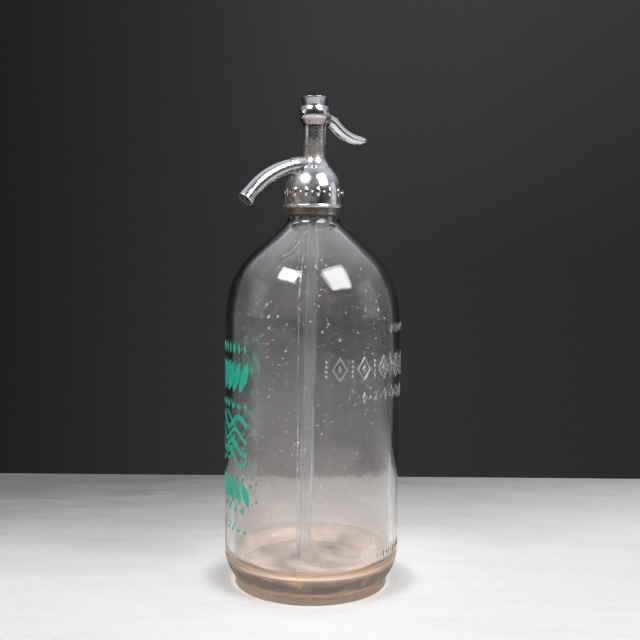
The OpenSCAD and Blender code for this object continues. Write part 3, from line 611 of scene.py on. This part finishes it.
def grime_and_shade_material():
    """Dark ring round the heel, partly dirty glass and partly painted shade where the dark room
    shows through, with a few painted orange glints, and a tan bloom on each side.
    """
    t = Look("Heel grime and painted shade")
    fade = t.between(6.8, 16.4, 1.5)
    # painted shade: the dark ring where the room shows through, mixed with dirty glass; the
    # orange stop paints glints
    dark = t.ramp(t.noise(t.place, 90, 4, 0.65), [
        (0.36, (0.20, 0.155, 0.14)), (0.56, (0.40, 0.31, 0.26)), (0.64, (0.90, 0.56, 0.28))])
    patchy = t.noise(t.scaled(t.place, (1.0, 1.0, 2.0)), 230, 5, 0.75).patches(0.30, 1.5)
    bloom = t.between(-1.0, 31.0, 9.0) * (t.noise(t.place, 45, 4, 0.6) * 0.26 + 0.08)
    t.set(Base_Color=t.mix(fade, (0.86, 0.57, 0.36), dark), Roughness=0.6,
          Alpha=patchy * fade * 0.30 + bloom)
    return t.material


def seam_highlight_material():
    t = Look("Seam painted highlight")
    # painted highlight: a broken white line on the seam's ridge
    broken = t.noise(t.scaled(t.place, (1.0, 1.0, 0.4)), 420, 4, 0.7).patches(0.40, 2.2)
    t.set(Base_Color=(0.80, 0.80, 0.83), Roughness=0.5, Alpha=broken)
    return t.material


def tube_glass_material():
    t = Look("Milky tube glass")
    cloud = t.noise(t.place, 60, 5, 0.6)
    t.set(Transmission_Weight=0.98, IOR=1.40, Roughness=cloud * 0.12 + 0.04,
          Base_Color=t.ramp(cloud, [(0.3, (0.84, 0.88, 0.93)), (0.7, (0.94, 0.96, 0.98))]))
    t.bump(t.noise(t.place, 400, 3, 0.6), 0.02 * MM)
    t.clear_shadow((0.93, 0.94, 0.95))
    return t.material


def enamel_material():
    t = Look("Green enamel")
    wear = t.noise(t.place, 240, 5, 0.7)
    base = tuple(bpy.context.scene.siphon_print.enamel)
    worn, pale = [0.72 * c for c in base], [min(1, 1.25 * c + 0.03) for c in base]
    t.set(Base_Color=t.ramp(wear, [(0.25, worn), (0.6, base), (0.8, pale)]),
          Roughness=wear * 0.3 + 0.25, Alpha=t.noise(t.place, 520, 5, 0.75) < 0.70)
    t.bump(wear, 0.02 * MM)
    return t.material


def table_material():
    """Whitewash with painted shade that darkens it towards the back edge, most of all on the
    left.
    """
    stage = bpy.context.scene.siphon_stage
    t = Look("Whitewashed table")
    right, level, _, _ = view_axes()
    away, along = t.dot(t.place, level), t.dot(t.place, right)
    streak_v = t.add("ShaderNodeCombineXYZ")
    t.put(along * 0.22, streak_v.inputs["X"])
    t.put(away, streak_v.inputs["Y"])
    streak = t.noise(streak_v.outputs[0], 46, 6, 0.65, 0.4)
    grain = t.noise(t.place, 210, 5, 0.7)
    wobble = (streak * 0.7 + t.noise(t.place, 9, 4, 0.55) * 0.3 - 0.5) * 0.22
    # painted shade: darker towards the back edge of the table, more on the left
    far_shade = (away - along * 0.30 + wobble).rising(45 * MM, 255 * MM)
    base = t.mix(far_shade, tuple(stage.table), tuple(stage.table_back_shade))
    both = streak * 0.55 + grain * 0.45
    shadow = t.ramp(both, [(0.30, 0.88), (0.5, 0.985), (0.62, 1.0)])
    t.set(Base_Color=t.mix(1.0, base, shadow, "MULTIPLY"), Roughness=grain * 0.25 + 0.5)
    t.bump(both, 0.3 * MM, 0.5)
    return t.material


# ---------------------------------------- bottle

def neck_height(offset, touch_r):
    """Height where the shoulder's slope has run into the neck, offset into the glass."""
    slope = math.radians(SHOULDER_SLOPE)
    slope_r = SHOULDER_X + (SHOULDER_R - offset) * math.cos(slope)
    slope_z = SHOULDER_Z + (SHOULDER_R - offset) * math.sin(slope)
    run = (slope_r - touch_r - NECK_FILLET_R * (1 - math.cos(slope))) / math.sin(slope)
    return slope_z + run * math.cos(slope) + NECK_FILLET_R * math.sin(slope)


NECK_Z = neck_height(0.0, NECK_R)
INNER_NECK_Z = neck_height(GLASS_WALL, BORE_R)
SHELF_Z = NECK_Z - SHELF_DROP
LIP_Z = SHELF_Z + GROOVE_H
MOUTH_Z = LIP_Z + LIP_H


def shoulder_curve(offset, neck_r, neck_z):
    """Straight wall, upper curve, shoulder and hollow fillet, offset into the glass."""
    p = arc_points(UPPER_X, WALL_TOP_Z, UPPER_R - offset, 0, UPPER_TURN, 10)
    p += arc_points(SHOULDER_X, SHOULDER_Z, SHOULDER_R - offset, UPPER_TURN, SHOULDER_SLOPE,
                    30)[1:]
    p += arc_points(neck_r + NECK_FILLET_R, neck_z, NECK_FILLET_R, 180 + SHOULDER_SLOPE, 181,
                    14)
    return p


def bottle_outer_profile():
    """Outside of the glass from the middle of the base to the mouth, in mm."""
    notch_r = FOOT_R - NOTCH_DEEP
    rim_r = FOOT_R - 4.0
    p = [(rim_r * u, PUSH_UP * (1 - u * u)) for u in (0.0001, 0.2, 0.4, 0.6, 0.75, 0.9, 1.0)]
    p += [(FOOT_R - 2 * EDGE, 0.0), (FOOT_R - EDGE, 0.2), (FOOT_R - 0.15, 0.45),
          (FOOT_R, 2 * EDGE), (FOOT_R, FOOT_H - EDGE), (FOOT_R - 0.15, FOOT_H - 0.15),
          (FOOT_R - EDGE, FOOT_H), (notch_r, FOOT_H + 0.25), (notch_r + 0.05, FOOT_H + 1.0),
          (notch_r + 0.5, FOOT_H + 1.35)]
    start = -math.degrees(math.asin((HEEL_Z - FOOT_H - NOTCH_W) / HEEL_R))
    p += arc_points(WALL_R - HEEL_R, HEEL_Z, HEEL_R, start, 0, 22)
    p += shoulder_curve(0.0, NECK_R, NECK_Z)
    p += [(NECK_R, SHELF_Z), (GROOVE_R, SHELF_Z + 0.01), (GROOVE_R, LIP_Z),
          (LIP_R - 0.15, LIP_Z + 1.45), (LIP_R, LIP_Z + 1.8), (LIP_R, MOUTH_Z - 2 * EDGE),
          (LIP_R - 0.2, MOUTH_Z - 0.25), (LIP_R - 2 * EDGE, MOUTH_Z)]
    return p


def bottle_inner_profile():
    """Inside of the glass from the mouth down to the middle of the floor, in mm."""
    p = [(BORE_R + EDGE, MOUTH_Z), (BORE_R + 0.1, MOUTH_Z - 0.2), (BORE_R, MOUTH_Z - 0.5)]
    p += reversed(shoulder_curve(GLASS_WALL, BORE_R, INNER_NECK_Z))
    inner = WALL_R - GLASS_WALL
    p += arc_points(inner - INNER_HEEL_R, FLOOR_Z + INNER_HEEL_R, INNER_HEEL_R, 0, -90, 16)
    p += [(24, FLOOR_Z - 0.1), (12, FLOOR_Z + 0.1), (0.001, FLOOR_Z + 0.2)]
    return p


def plateau(distance, edge=0.45):
    """1 inside a mark, 0 outside it, with a smooth bank edge mm wide."""
    x = np.clip(0.5 - distance / edge, 0, 1)
    return x * x * (3 - 2 * x)


def bead(x, z, r):
    """Signed distance in mm from a round bead's rim."""
    return np.hypot(x, z) - r


def lozenge(x, z, a, b):
    """Signed distance in mm from an upright lozenge's rim."""
    return (np.abs(x) / a + np.abs(z) / b - 1) * a * b / math.hypot(a, b)


# Rows of small raised marks: share of the full height, z, first and last number, pitch,
# shift, half width and half height of a lozenge, and radius of a bead; all in mm
SMALL_ROWS = (
    (1.0, 120.2, -4, 9, 4.3, 2.0, 1.7, 3.4, 0.8),
    (1.0, 158.6, 2, 9, 4.0, 0.0, 1.4, 2.6, 0.7),
    (0.4, 26.6, -13, 15, 3.1, -3.1, 1.1, 1.9, 0.7))


def raised_marks(s, z):
    """Each raised mark's share of the full height and distance from (s, z) to its rim."""
    # broad row: lozenge frames with a lozenge in them, and columns of beads between
    for k in range(-5, 6):
        x, up = s - k * 7.8, z - 136.6
        if k % 2 == 0:
            yield 1.0, np.abs(lozenge(x, up, 4.4, 6.4)) - 0.5
            yield 1.0, lozenge(x, up, 1.5, 2.4)
        else:
            for dz in (-4.2, -1.4, 1.4, 4.2):
                yield 1.0, bead(x, up - dz, 0.85)
    for share, row_z, first, last, pitch, shift, half_w, half_h, bead_r in SMALL_ROWS:
        for k in range(first, last + 1):
            x, up = s - k * pitch - shift, z - row_z
            yield share, bead(x, up, bead_r) if k % 2 else lozenge(x, up, half_w, half_h)


def emboss_height(angle, z):
    """Share of the full height of the raised generic ornament at angle and z."""
    s = np.radians(angle - EMBOSS_CENTRE) * WALL_R
    height = np.zeros(np.broadcast(angle, z).shape)
    for share, distance in raised_marks(s, z):
        height = np.maximum(height, share * plateau(distance))
    return height


def seam_share(angle, z):
    """Share of the mould seam's height at angle and z."""
    height = np.zeros(np.broadcast(angle, z).shape)
    for centre in (SEAM_FRONT, SEAM_FRONT - 180):
        away = np.radians((angle - centre + 180) % 360 - 180) * WALL_R
        height = np.maximum(height, np.exp(-(away / 0.36) ** 2))
    return height * np.clip((z - 8) / 3, 0, 1) * np.clip((SHELF_Z - 5 - z) / 4, 0, 1)


def column_angles():
    """Angles of the bottle's columns: dense at the raised marks and at the seams."""
    angles = [seam + d for seam in (SEAM_FRONT, SEAM_FRONT - 180)
              for d in np.arange(-1.2, 1.21, 0.2)]
    angles += list(np.arange(239.0, 334.0, 0.36))
    for a in np.arange(0.0, 360.0, 1.2):
        if all(abs((a - b + 180) % 360 - 180) > 0.7 for b in angles):
            angles.append(a)
    return np.array(sorted(a % 360 for a in angles))


def build_bottle_mesh():
    """Vertices, faces and the number of the first inside face."""
    glass = bpy.context.scene.siphon_glass
    outer = resample(bottle_outer_profile(), 4.0, 0.38, [(114, 162), (23, 30)])
    profile = np.array(outer + resample(bottle_inner_profile(), 5.0))
    angle, r, z = column_angles()[None, :], profile[:, :1], profile[:, 1:]
    lift = np.maximum(emboss_height(angle, z) * glass.emboss_height,
                      seam_share(angle, z) * glass.seam_height) / MM
    lift[len(outer):] = 0
    lift[r[:, 0] < NECK_R + 0.5] = 0
    a, r = np.radians(angle), r + lift
    rings = np.stack([r * np.cos(a), r * np.sin(a), np.broadcast_to(z, r.shape)], -1) * MM
    low, high = profile[0, 1] * MM, profile[-1, 1] * MM
    verts = [(0, 0, low)] + rings[1:-1].reshape(-1, 3).tolist() + [(0, 0, high)]
    n = angle.shape[1]
    starts = range(1, len(verts) - 1, n)
    faces = turned(fan_faces(0, 1, n))
    for here, above in zip(starts[:-1], starts[1:]):
        faces += ring_faces(here, above, n)
    faces += fan_faces(len(verts) - 1, starts[-1], n)
    return verts, faces, n * (len(outer) - 1)


class SIPHON_OT_bottle(bpy.types.Operator):
    """Makes the pressed-glass bottle with its mould seam and raised ornament"""
    bl_idname = "siphon.bottle"
    bl_label = "Glass bottle"

    def execute(self, context):
        verts, faces, first_inside = build_bottle_mesh()
        outside = bottle_glass_material("Bottle glass", 0.015, 0.28, grime_and_shade=0.6)
        obj = add_mesh("bottle_glass", verts, faces, outside, 40)
        obj.data.materials.append(bottle_glass_material("Bottle glass inside", 0.05, 0.75))
        obj.data.materials.append(bottle_glass_material("Rubbed glass marks", 0.25, 0.28, 0.86))
        centres = np.empty(3 * len(faces), dtype=np.float32)
        obj.data.polygons.foreach_get("center", centres)
        x, y, z = centres.reshape(-1, 3).T / MM
        raised = emboss_height(np.degrees(np.arctan2(y, x)) % 360, z) > 0.5
        index = np.where(raised, 2, 0)
        index[first_inside:] = 1
        obj.data.polygons.foreach_set("material_index", index.astype(np.int32))
        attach(obj, BASE_BODY)
        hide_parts("bottle")
        self.seam_painted_highlight()
        return {"FINISHED"}

    def seam_painted_highlight(self):
        """Thin white strip along the front seam: a painted highlight on the seam's ridge."""
        wall = [(r, z) for r, z in bottle_outer_profile() if 12 < z < SHELF_Z - 6 and r > 19]
        verts, faces = [], []
        for r, z in resample(wall, 3.0):
            for side, out in ((-0.17, 0.145), (0.17, 0.145), (0.17, 0.165), (-0.17, 0.165)):
                verts.append(on_circle(r + out, math.radians(SEAM_FRONT) + side / r, z))
        end = len(verts) - 4
        for i in range(0, end, 4):
            faces += ring_faces(i, i + 4, 4)
        faces += [(3, 2, 1, 0), (end, end + 1, end + 2, end + 3)]
        obj = add_mesh("seam_painted_highlight", verts, faces, seam_highlight_material())
        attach(obj, BASE_BODY)


def film_mesh(name, outline, gap, film, material, n=192):
    """Thin closed skin of revolution that follows outline, gap mm off the glass."""
    loop = []
    for offset, order in ((gap, 1), (gap + film, -1)):
        side = []
        for i, (r, z) in enumerate(outline):
            r0, z0 = outline[max(0, i - 1)]
            r1, z1 = outline[min(len(outline) - 1, i + 1)]
            length = math.hypot(r1 - r0, z1 - z0)
            side.append((max(0.0, r + offset * (z1 - z0) / length),
                         z - offset * (r1 - r0) / length))
        loop += side[::order]
    verts, faces, rings = [], [], []
    for r, z in loop:
        # one vertex on the axis, and n off it
        pole = r < 0.01
        rings.append((len(verts), pole))
        verts += [on_circle(r, 2 * math.pi * j / n, z) for j in range(1 if pole else n)]
    for (here, here_pole), (there, there_pole) in zip(rings, rings[1:] + rings[:1]):
        if here_pole and there_pole:
            continue
        if here_pole:
            faces += fan_faces(here, there, n)
        elif there_pole:
            faces += turned(fan_faces(there, here, n))
        else:
            faces += ring_faces(there, here, n)
    obj = add_mesh(name, verts, faces, material)
    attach(obj, BASE_BODY)


class SIPHON_OT_haze(bpy.types.Operator):
    """Makes the mineral haze inside the glass, with painted light in its thick floor coat, and
    the dirty heel ring with its painted shade and glints
    """
    bl_idname = "siphon.haze"
    bl_label = "Haze, grime and painted light"

    def execute(self, context):
        wall = [(r, z) for r, z in bottle_inner_profile() if z < INNER_NECK_Z - 1.5]
        wall = resample(wall, 4.0)
        wall[-1] = (0.0, wall[-1][1])
        film_mesh("mineral_haze_and_light", wall, 0.06, 0.04, haze_and_light_material())
        heel = [(r, z) for r, z in bottle_outer_profile() if 0.8 < z < 31.0 and r > 43]
        # heel film: dirty glass with painted shade and painted glints
        film_mesh("heel_grime_and_shade", resample(heel, 1.0), 0.03, 0.03, grime_and_shade_material())
        return {"FINISHED"}


# ---------------------------------------- print

def wrap(outline, name, material, thickness):
    """Bends a flat outline (s along the wall, z), in mm, round the bottle as a thin solid."""
    bm = bmesh.new()
    bm.faces.new([bm.verts.new((s, 0, z)) for s, z in outline])
    bmesh.ops.triangulate(bm, faces=bm.faces[:])
    # cut edges over 2.2 mm long so that the print follows the curve
    for _ in range(4):
        long = [e for e in bm.edges if abs(e.verts[0].co.x - e.verts[1].co.x) > 2.2]
        if not long:
            break
        bmesh.ops.subdivide_edges(bm, edges=long, cuts=1)
        bmesh.ops.triangulate(bm, faces=[f for f in bm.faces if len(f.verts) > 3])
    under = WALL_R - 0.01
    deep = WALL_R + thickness / MM - under
    bmesh.ops.solidify(bm, geom=bm.faces[:], thickness=deep)
    low = min(v.co.y for v in bm.verts)
    high = max(v.co.y for v in bm.verts)
    for v in bm.verts:
        r = under + deep * (v.co.y - low) / (high - low)
        v.co = on_circle(r, math.radians(PRINT_CENTRE) + v.co.x / WALL_R, v.co.z)
    obj = add_bmesh(name, bm, material, 30)
    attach(obj, BASE_BODY)


def leaf(s, z, length, width, turn, n=14):
    """Pointed leaf outline centred on (s, z)."""
    side = [(length * (u - 0.5), width / 2 * math.sin(math.pi * u) ** 0.8)
            for u in np.linspace(0, 1, n + 1)]
    back = [(x, -y) for x, y in reversed(side[1:-1])]
    c, k = math.cos(math.radians(turn)), math.sin(math.radians(turn))
    return [(s + x * c - y * k, z + x * k + y * c) for x, y in side + back]


def disc(s, z, r, n=20):
    return [(s + r * math.cos(2 * math.pi * i / n), z + r * math.sin(2 * math.pi * i / n))
            for i in range(n)]


def diamond(s, z, w, h):
    return [(s + w, z), (s, z + h), (s - w, z), (s, z - h)]


def print_row(shape, reach, pitch, shift, *sizes):
    """Equal shapes at -reach to reach times pitch."""
    return [shape(k * pitch + shift, *sizes) for k in range(-reach, reach + 1)]


def print_outlines():
    """The generic print: dashes, slanting leaves, diamonds, ripples and dots."""
    shapes = print_row(leaf, 7, 5.6, 0, 146.0, 5.6, 2.2, 90)
    shapes += print_row(leaf, 5, 7.6, 0, 129.5, 19.5, 6.2, 66)
    shapes += print_row(diamond, 6, 6.6, 0, 112.5, 1.5, 2.1)
    for lane, (zc, w) in enumerate(((103.0, 1.6), (95.5, 1.1), (88.5, 1.6), (82.0, 0.9))):
        line = [(s, zc + 3.6 * math.sin(s / 4.2 + lane * 0.9)) for s in np.linspace(-41, 41, 90)]
        shapes.append([(s, z + w) for s, z in line] + [(s, z - w) for s, z in reversed(line)])
    shapes += print_row(leaf, 5, 7.6, 2, 62.0, 15.5, 5.6, 112)
    shapes += print_row(disc, 5, 7.6, -1, 51.5, 1.5)
    shapes += print_row(disc, 6, 6.6, 0, 39.5, 1.1)
    return shapes


class SIPHON_OT_print(bpy.types.Operator):
    """Makes the green enamel ornament on the spout's side"""
    bl_idname = "siphon.print"
    bl_label = "Enamel ornament"

    def execute(self, context):
        material = enamel_material()
        for i, outline in enumerate(print_outlines()):
            wrap(outline, "enamel_mark_%02d" % (i + 1), material,
                 context.scene.siphon_print.thickness)
        return {"FINISHED"}


# ---------------------------------------- metalwork

class SIPHON_OT_finishes(bpy.types.Operator):
    """Gives the head, lever, spout, collar and inner pieces their finishes"""
    bl_idname = "siphon.finishes"
    bl_label = "Metal and rubber finishes"

    def execute(self, context):
        head = plating_material(
            "Head plating", 0.42, 0.6,
            # the two large patches on the front left of the dome, at 236 and 238 mm, are partly
            # tarnish and partly painted reflection of the dark wall
            [((-5.0, -4.5, 263.0), 9, 0.7), ((-16.5, -3.0, 236.0), 17, 1.0),
             ((-15.0, 9.0, 238.0), 16, 0.9), ((0.0, -19.0, 229.5), 5, 0.5)],
            zone=(256, 279, 0.80), table_reflection_band=(276.5, 283.0, 0.85))
        spout = plating_material("Spout plating", 0.28, 0.3, [((-48.5, 0.0, 231.0), 6, 0.8)])
        lever = plating_material("Lever plating", 0.12, 0.2, [((9.5, 0.0, 280.0), 4, 0.8)])
        cap = plating_material("Cap plating", 0.62, 0.6, [((0, 0, 294.5), 8, 0.3)],
                               (0.58, 0.59, 0.62))
        pin = plating_material("Pin steel", 0.5, 0.6, base=(0.62, 0.60, 0.58), roughness=0.3)
        collar = plating_material(
            "Collar plating", 0.6, 0.8,
            [((-9.0, -13.0, 226.5), 7, 1.0), ((-16.0, 0, 226.5), 12, 0.9),
             ((16.0, 0, 226.5), 9, 0.7)], (0.52, 0.44, 0.40), 0.26)
        spring = plating_material("Spring steel", 0.2, 0.3, base=(0.55, 0.55, 0.58),
                                  roughness=0.25)
        looks = (
            (head, "head_casting"), (spout, "spout"), (lever, "lever"), (pin, "lever_pin"),
            (cap, "top_cap", "lever_bore_plug"), (spring, "valve_spring"),
            (collar, "split_collar_front", "split_collar_rear", "locking_ring"),
            (rubber_material(), "neck_cushion", "neck_gasket", "tube_seal", "valve_rubber",
             "piston_cup"),
            (brass_material(), "tube_nut", "valve_seat", "spindle", "valve_screw",
             "spring_bush"),
            (fibre_material(), "seat_washer", "cap_washer"),
            (tube_glass_material(), "dip_tube"))
        for material, *names in looks:
            for name in names:
                NODES[name].data.materials.clear()
                NODES[name].data.materials.append(material)
        for node in NODES.values():
            for polygon in node.data.polygons:
                polygon.use_smooth = True
        return {"FINISHED"}


class SIPHON_OT_stamps(bpy.types.Operator):
    """Makes the ring of stamped generic marks round the head"""
    bl_idname = "siphon.stamps"
    bl_label = "Stamped marks"

    def execute(self, context):
        material = plating_material("Mark plating", 0.3, 0.4)
        for k in range(MARK_COUNT):
            half_w, half_h = (0.9, 0.9) if k % 2 else (1.5, 3.2)
            turn = math.radians(360.0 * k / MARK_COUNT + 4)
            self.mark("stamped_mark_%02d" % (k + 1), turn, half_w, half_h, material)
        return {"FINISHED"}

    def mark(self, name, turn, half_w, half_h, material, rings=5, n=20):
        """One pointed oval, domed, that follows the head's surface."""
        bm = bmesh.new()
        loops = []
        for i in range(1, rings + 1):
            share = i / rings
            # 0.62 mm high in the middle, and sunk by 0.12 mm at the rim
            lift = 0.62 * math.cos(share * math.pi / 2) - 0.12 * share
            loop = []
            for j in range(n):
                a = 2 * math.pi * j / n
                x = half_w * share * math.cos(a) * (1 - 0.35 * math.sin(a) ** 2)
                z = MARK_Z + half_h * share * math.sin(a)
                r = SKIRT_R
                if z >= DOME_Z:
                    r = DOME_X + math.sqrt(DOME_R ** 2 - (z - DOME_Z) ** 2)
                loop.append(bm.verts.new(on_circle(r + lift, turn + x / SKIRT_R, z)))
            loops.append(loop)
        # the back sits inside the head's wall
        back = [bm.verts.new((v.co.x * 0.965, v.co.y * 0.965, v.co.z)) for v in loops[-1]]
        loops.append(back)
        for inner, outer in zip(loops[:-1], loops[1:]):
            for face in ring_faces(0, n, n):
                bm.faces.new((inner + outer)[i] for i in face)
        bm.faces.new(loops[0])
        bm.faces.new(back)
        obj = add_bmesh(name, bm, material, 50)
        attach(obj, BASE_BODY)


# ---------------------------------------- stage

def view_axes():
    """Right, level forward, tilted forward and up of the photograph's camera."""
    turn, tilt = math.radians(CAMERA_TURN), math.radians(CAMERA_TILT)
    right = Vector((math.cos(turn), -math.sin(turn), 0))
    level = Vector((math.sin(turn), math.cos(turn), 0))
    ahead = level * math.cos(tilt) - SKY * math.sin(tilt)
    up = level * math.sin(tilt) + SKY * math.cos(tilt)
    return right, level, ahead, up


def lamp(name, turn, rise, distance, width, height, watts):
    """Area lamp at turn degrees right of the camera and rise degrees up, aimed at LAMP_AIM."""
    right, level, _, _ = view_axes()
    a, e = math.radians(turn), math.radians(rise)
    direction = (right * math.sin(a) - level * math.cos(a)) * math.cos(e) + SKY * math.sin(e)
    data = bpy.data.lights.new(name, "AREA")
    data.shape = "RECTANGLE"
    data.size, data.size_y = width, height
    data.energy = watts
    obj = bpy.data.objects.new(name, data)
    bpy.context.scene.collection.objects.link(obj)
    obj.location = LAMP_AIM + direction * distance
    obj.rotation_mode = "QUATERNION"
    obj.rotation_quaternion = (-direction).to_track_quat("-Z", "Y")
    obj.visible_camera = False


class SIPHON_OT_stage(bpy.types.Operator):
    """Makes the table, the backdrop, the lamps and the camera"""
    bl_idname = "siphon.stage"
    bl_label = "Studio"

    def execute(self, context):
        stage = context.scene.siphon_stage
        self.table()
        self.world(stage)
        lamp("softbox_left", -46, 50, 1.1, 0.46, 0.30, stage.key_watts)
        lamp("softbox_right", 45, 47, 1.1, 0.54, 0.62, stage.fill_watts)
        lamp("card_left", -80, 16, 1.3, 0.6, 0.7, 0.8)
        lamp("card_right", 84, 16, 1.3, 0.6, 0.7, 0.8)
        self.camera(context.scene)
        context.scene.view_settings.view_transform = "Standard"
        return {"FINISHED"}

    def table(self):
        right, level, _, _ = view_axes()
        side, front, back = TABLE_SIDE, TABLE_FRONT, TABLE_BACK
        top = [right * x + level * y
               for x, y in ((-side, front), (side, front), (side, back), (-side, back))]
        verts = top + [corner - SKY * TABLE_THICK for corner in top]
        faces = [(0, 1, 2, 3), (7, 6, 5, 4)] + ring_faces(4, 0, 4)
        table = add_mesh("table", verts, faces, table_material())

    def camera(self, scene):
        right, level, ahead, up = view_axes()
        data = bpy.data.cameras.new("camera")
        data.sensor_width = SENSOR
        data.lens = FOCAL_PX * SENSOR / PICTURE_PX
        data.clip_start, data.clip_end = 0.01, 20
        camera = bpy.data.objects.new("camera", data)
        scene.collection.objects.link(camera)
        roll = math.radians(CAMERA_ROLL)
        x_axis = right * math.cos(roll) + up * math.sin(roll)
        y_axis = up * math.cos(roll) - right * math.sin(roll)
        matrix = Matrix((x_axis, y_axis, -ahead)).transposed().to_4x4()
        matrix.translation = (right * CAMERA_RIGHT - level * CAMERA_BACK + SKY * CAMERA_UP) * MM
        camera.matrix_world = matrix
        scene.camera = camera

    def world(self, stage):
        """Dark wall behind the table, and a room that grows brighter towards its ceiling."""
        world = bpy.data.worlds.new("studio")
        bpy.context.scene.world = world
        world.use_nodes = True
        world.node_tree.nodes.clear()
        t = Tree(world.node_tree)
        out = t.add("ShaderNodeOutputWorld")
        place = t.add("ShaderNodeTexCoord").outputs["Generated"]
        right, level, _, _ = view_axes()
        side, forward, rise = (t.dot(place, axis) for axis in (right, level, SKY))
        above = t.most(rise, 0.0)
        # wall: painted light and shade, darker to the left and lighter high up on the right
        wall = t.ramp(side.rising(-0.34, 0.68), [
            (0.0, 0.36), (0.28, 0.80), (0.5, 1.0), (0.72, 0.86), (1.0, 0.70)])
        plaster = t.noise(place, 160, 4, 0.7) * 0.16 + 0.92
        lift = (side.rising(-0.15, 0.3) * above * 2.2 + 1.0) * plaster
        wall = t.mix(1.0, tuple(stage.backdrop), wall, "MULTIPLY")
        wall = t.mix(1.0, wall, lift, "MULTIPLY")
        # room: dim at eye level and behind the camera, bright overhead
        ceiling = rise.rising(0.30, 0.45) * (forward.rising(-0.45, 0.6) * 0.95 + 0.14)
        flank = t.most((side - 0.45) * 0.28, (side * -1.0 - 0.45) * 0.08).clamped()
        camera, glossy, through = t.light_path("Is Camera Ray", "Is Glossy Ray",
                                               "Is Transmission Ray")
        room = above * 0.10 + 0.03 + ceiling + flank + through * 0.12
        tone = t.mix(1.0, tuple(c * stage.room for c in (0.92, 0.98, 1.06)), room, "MULTIPLY")
        ahead = forward.rising(0.70, 0.12) * rise.falling(0.60, 0.2)
        fill = t.add("ShaderNodeBackground")
        t.put((1, 1, 1), fill.inputs["Color"])
        t.put(0.22, fill.inputs["Strength"])
        shown = t.add("ShaderNodeBackground")
        t.put(t.mix(ahead, tone, wall), shown.inputs["Color"])
        seen = t.most(camera, t.most(glossy, through))
        t.put(t.mix_shaders(seen, fill, shown), out.inputs["Surface"])


# ---------------------------------------- panel and start

class SIPHON_PT_panel(bpy.types.Panel):
    """Shows the siphon's settings and a button for each of its operators"""
    bl_label = "Soda siphon"
    bl_idname = "SIPHON_PT_panel"
    bl_space_type = "VIEW_3D"
    bl_region_type = "UI"
    bl_category = "Siphon"

    def draw(self, context):
        for name, _ in SETTINGS:
            group = getattr(context.scene, name)
            box = self.layout.box()
            for key in group.bl_rna.properties.keys():
                if key not in {"rna_type", "name"}:
                    box.prop(group, key)
        for operator in OPERATORS:
            self.layout.operator(operator.bl_idname)


SETTINGS = (("siphon_glass", SiphonGlassSettings), ("siphon_print", SiphonPrintSettings),
            ("siphon_plating", SiphonPlatingSettings), ("siphon_stage", SiphonStageSettings))
OPERATORS = (SIPHON_OT_stage, SIPHON_OT_finishes, SIPHON_OT_bottle, SIPHON_OT_haze,
             SIPHON_OT_print, SIPHON_OT_stamps)


def register():
    for _, group in SETTINGS:
        bpy.utils.register_class(group)
    for operator in OPERATORS:
        bpy.utils.register_class(operator)
    bpy.utils.register_class(SIPHON_PT_panel)
    for name, group in SETTINGS:
        setattr(bpy.types.Scene, name, PointerProperty(type=group))


def unregister():
    for name, _ in SETTINGS:
        delattr(bpy.types.Scene, name)
    bpy.utils.unregister_class(SIPHON_PT_panel)
    for operator in reversed(OPERATORS):
        bpy.utils.unregister_class(operator)
    for _, group in reversed(SETTINGS):
        bpy.utils.unregister_class(group)


def main():
    register()
    bpy.ops.siphon.stage()
    bpy.ops.siphon.finishes()
    bpy.ops.siphon.bottle()
    bpy.ops.siphon.haze()
    bpy.ops.siphon.print()
    bpy.ops.siphon.stamps()


if __name__ == "__main__":
    main()
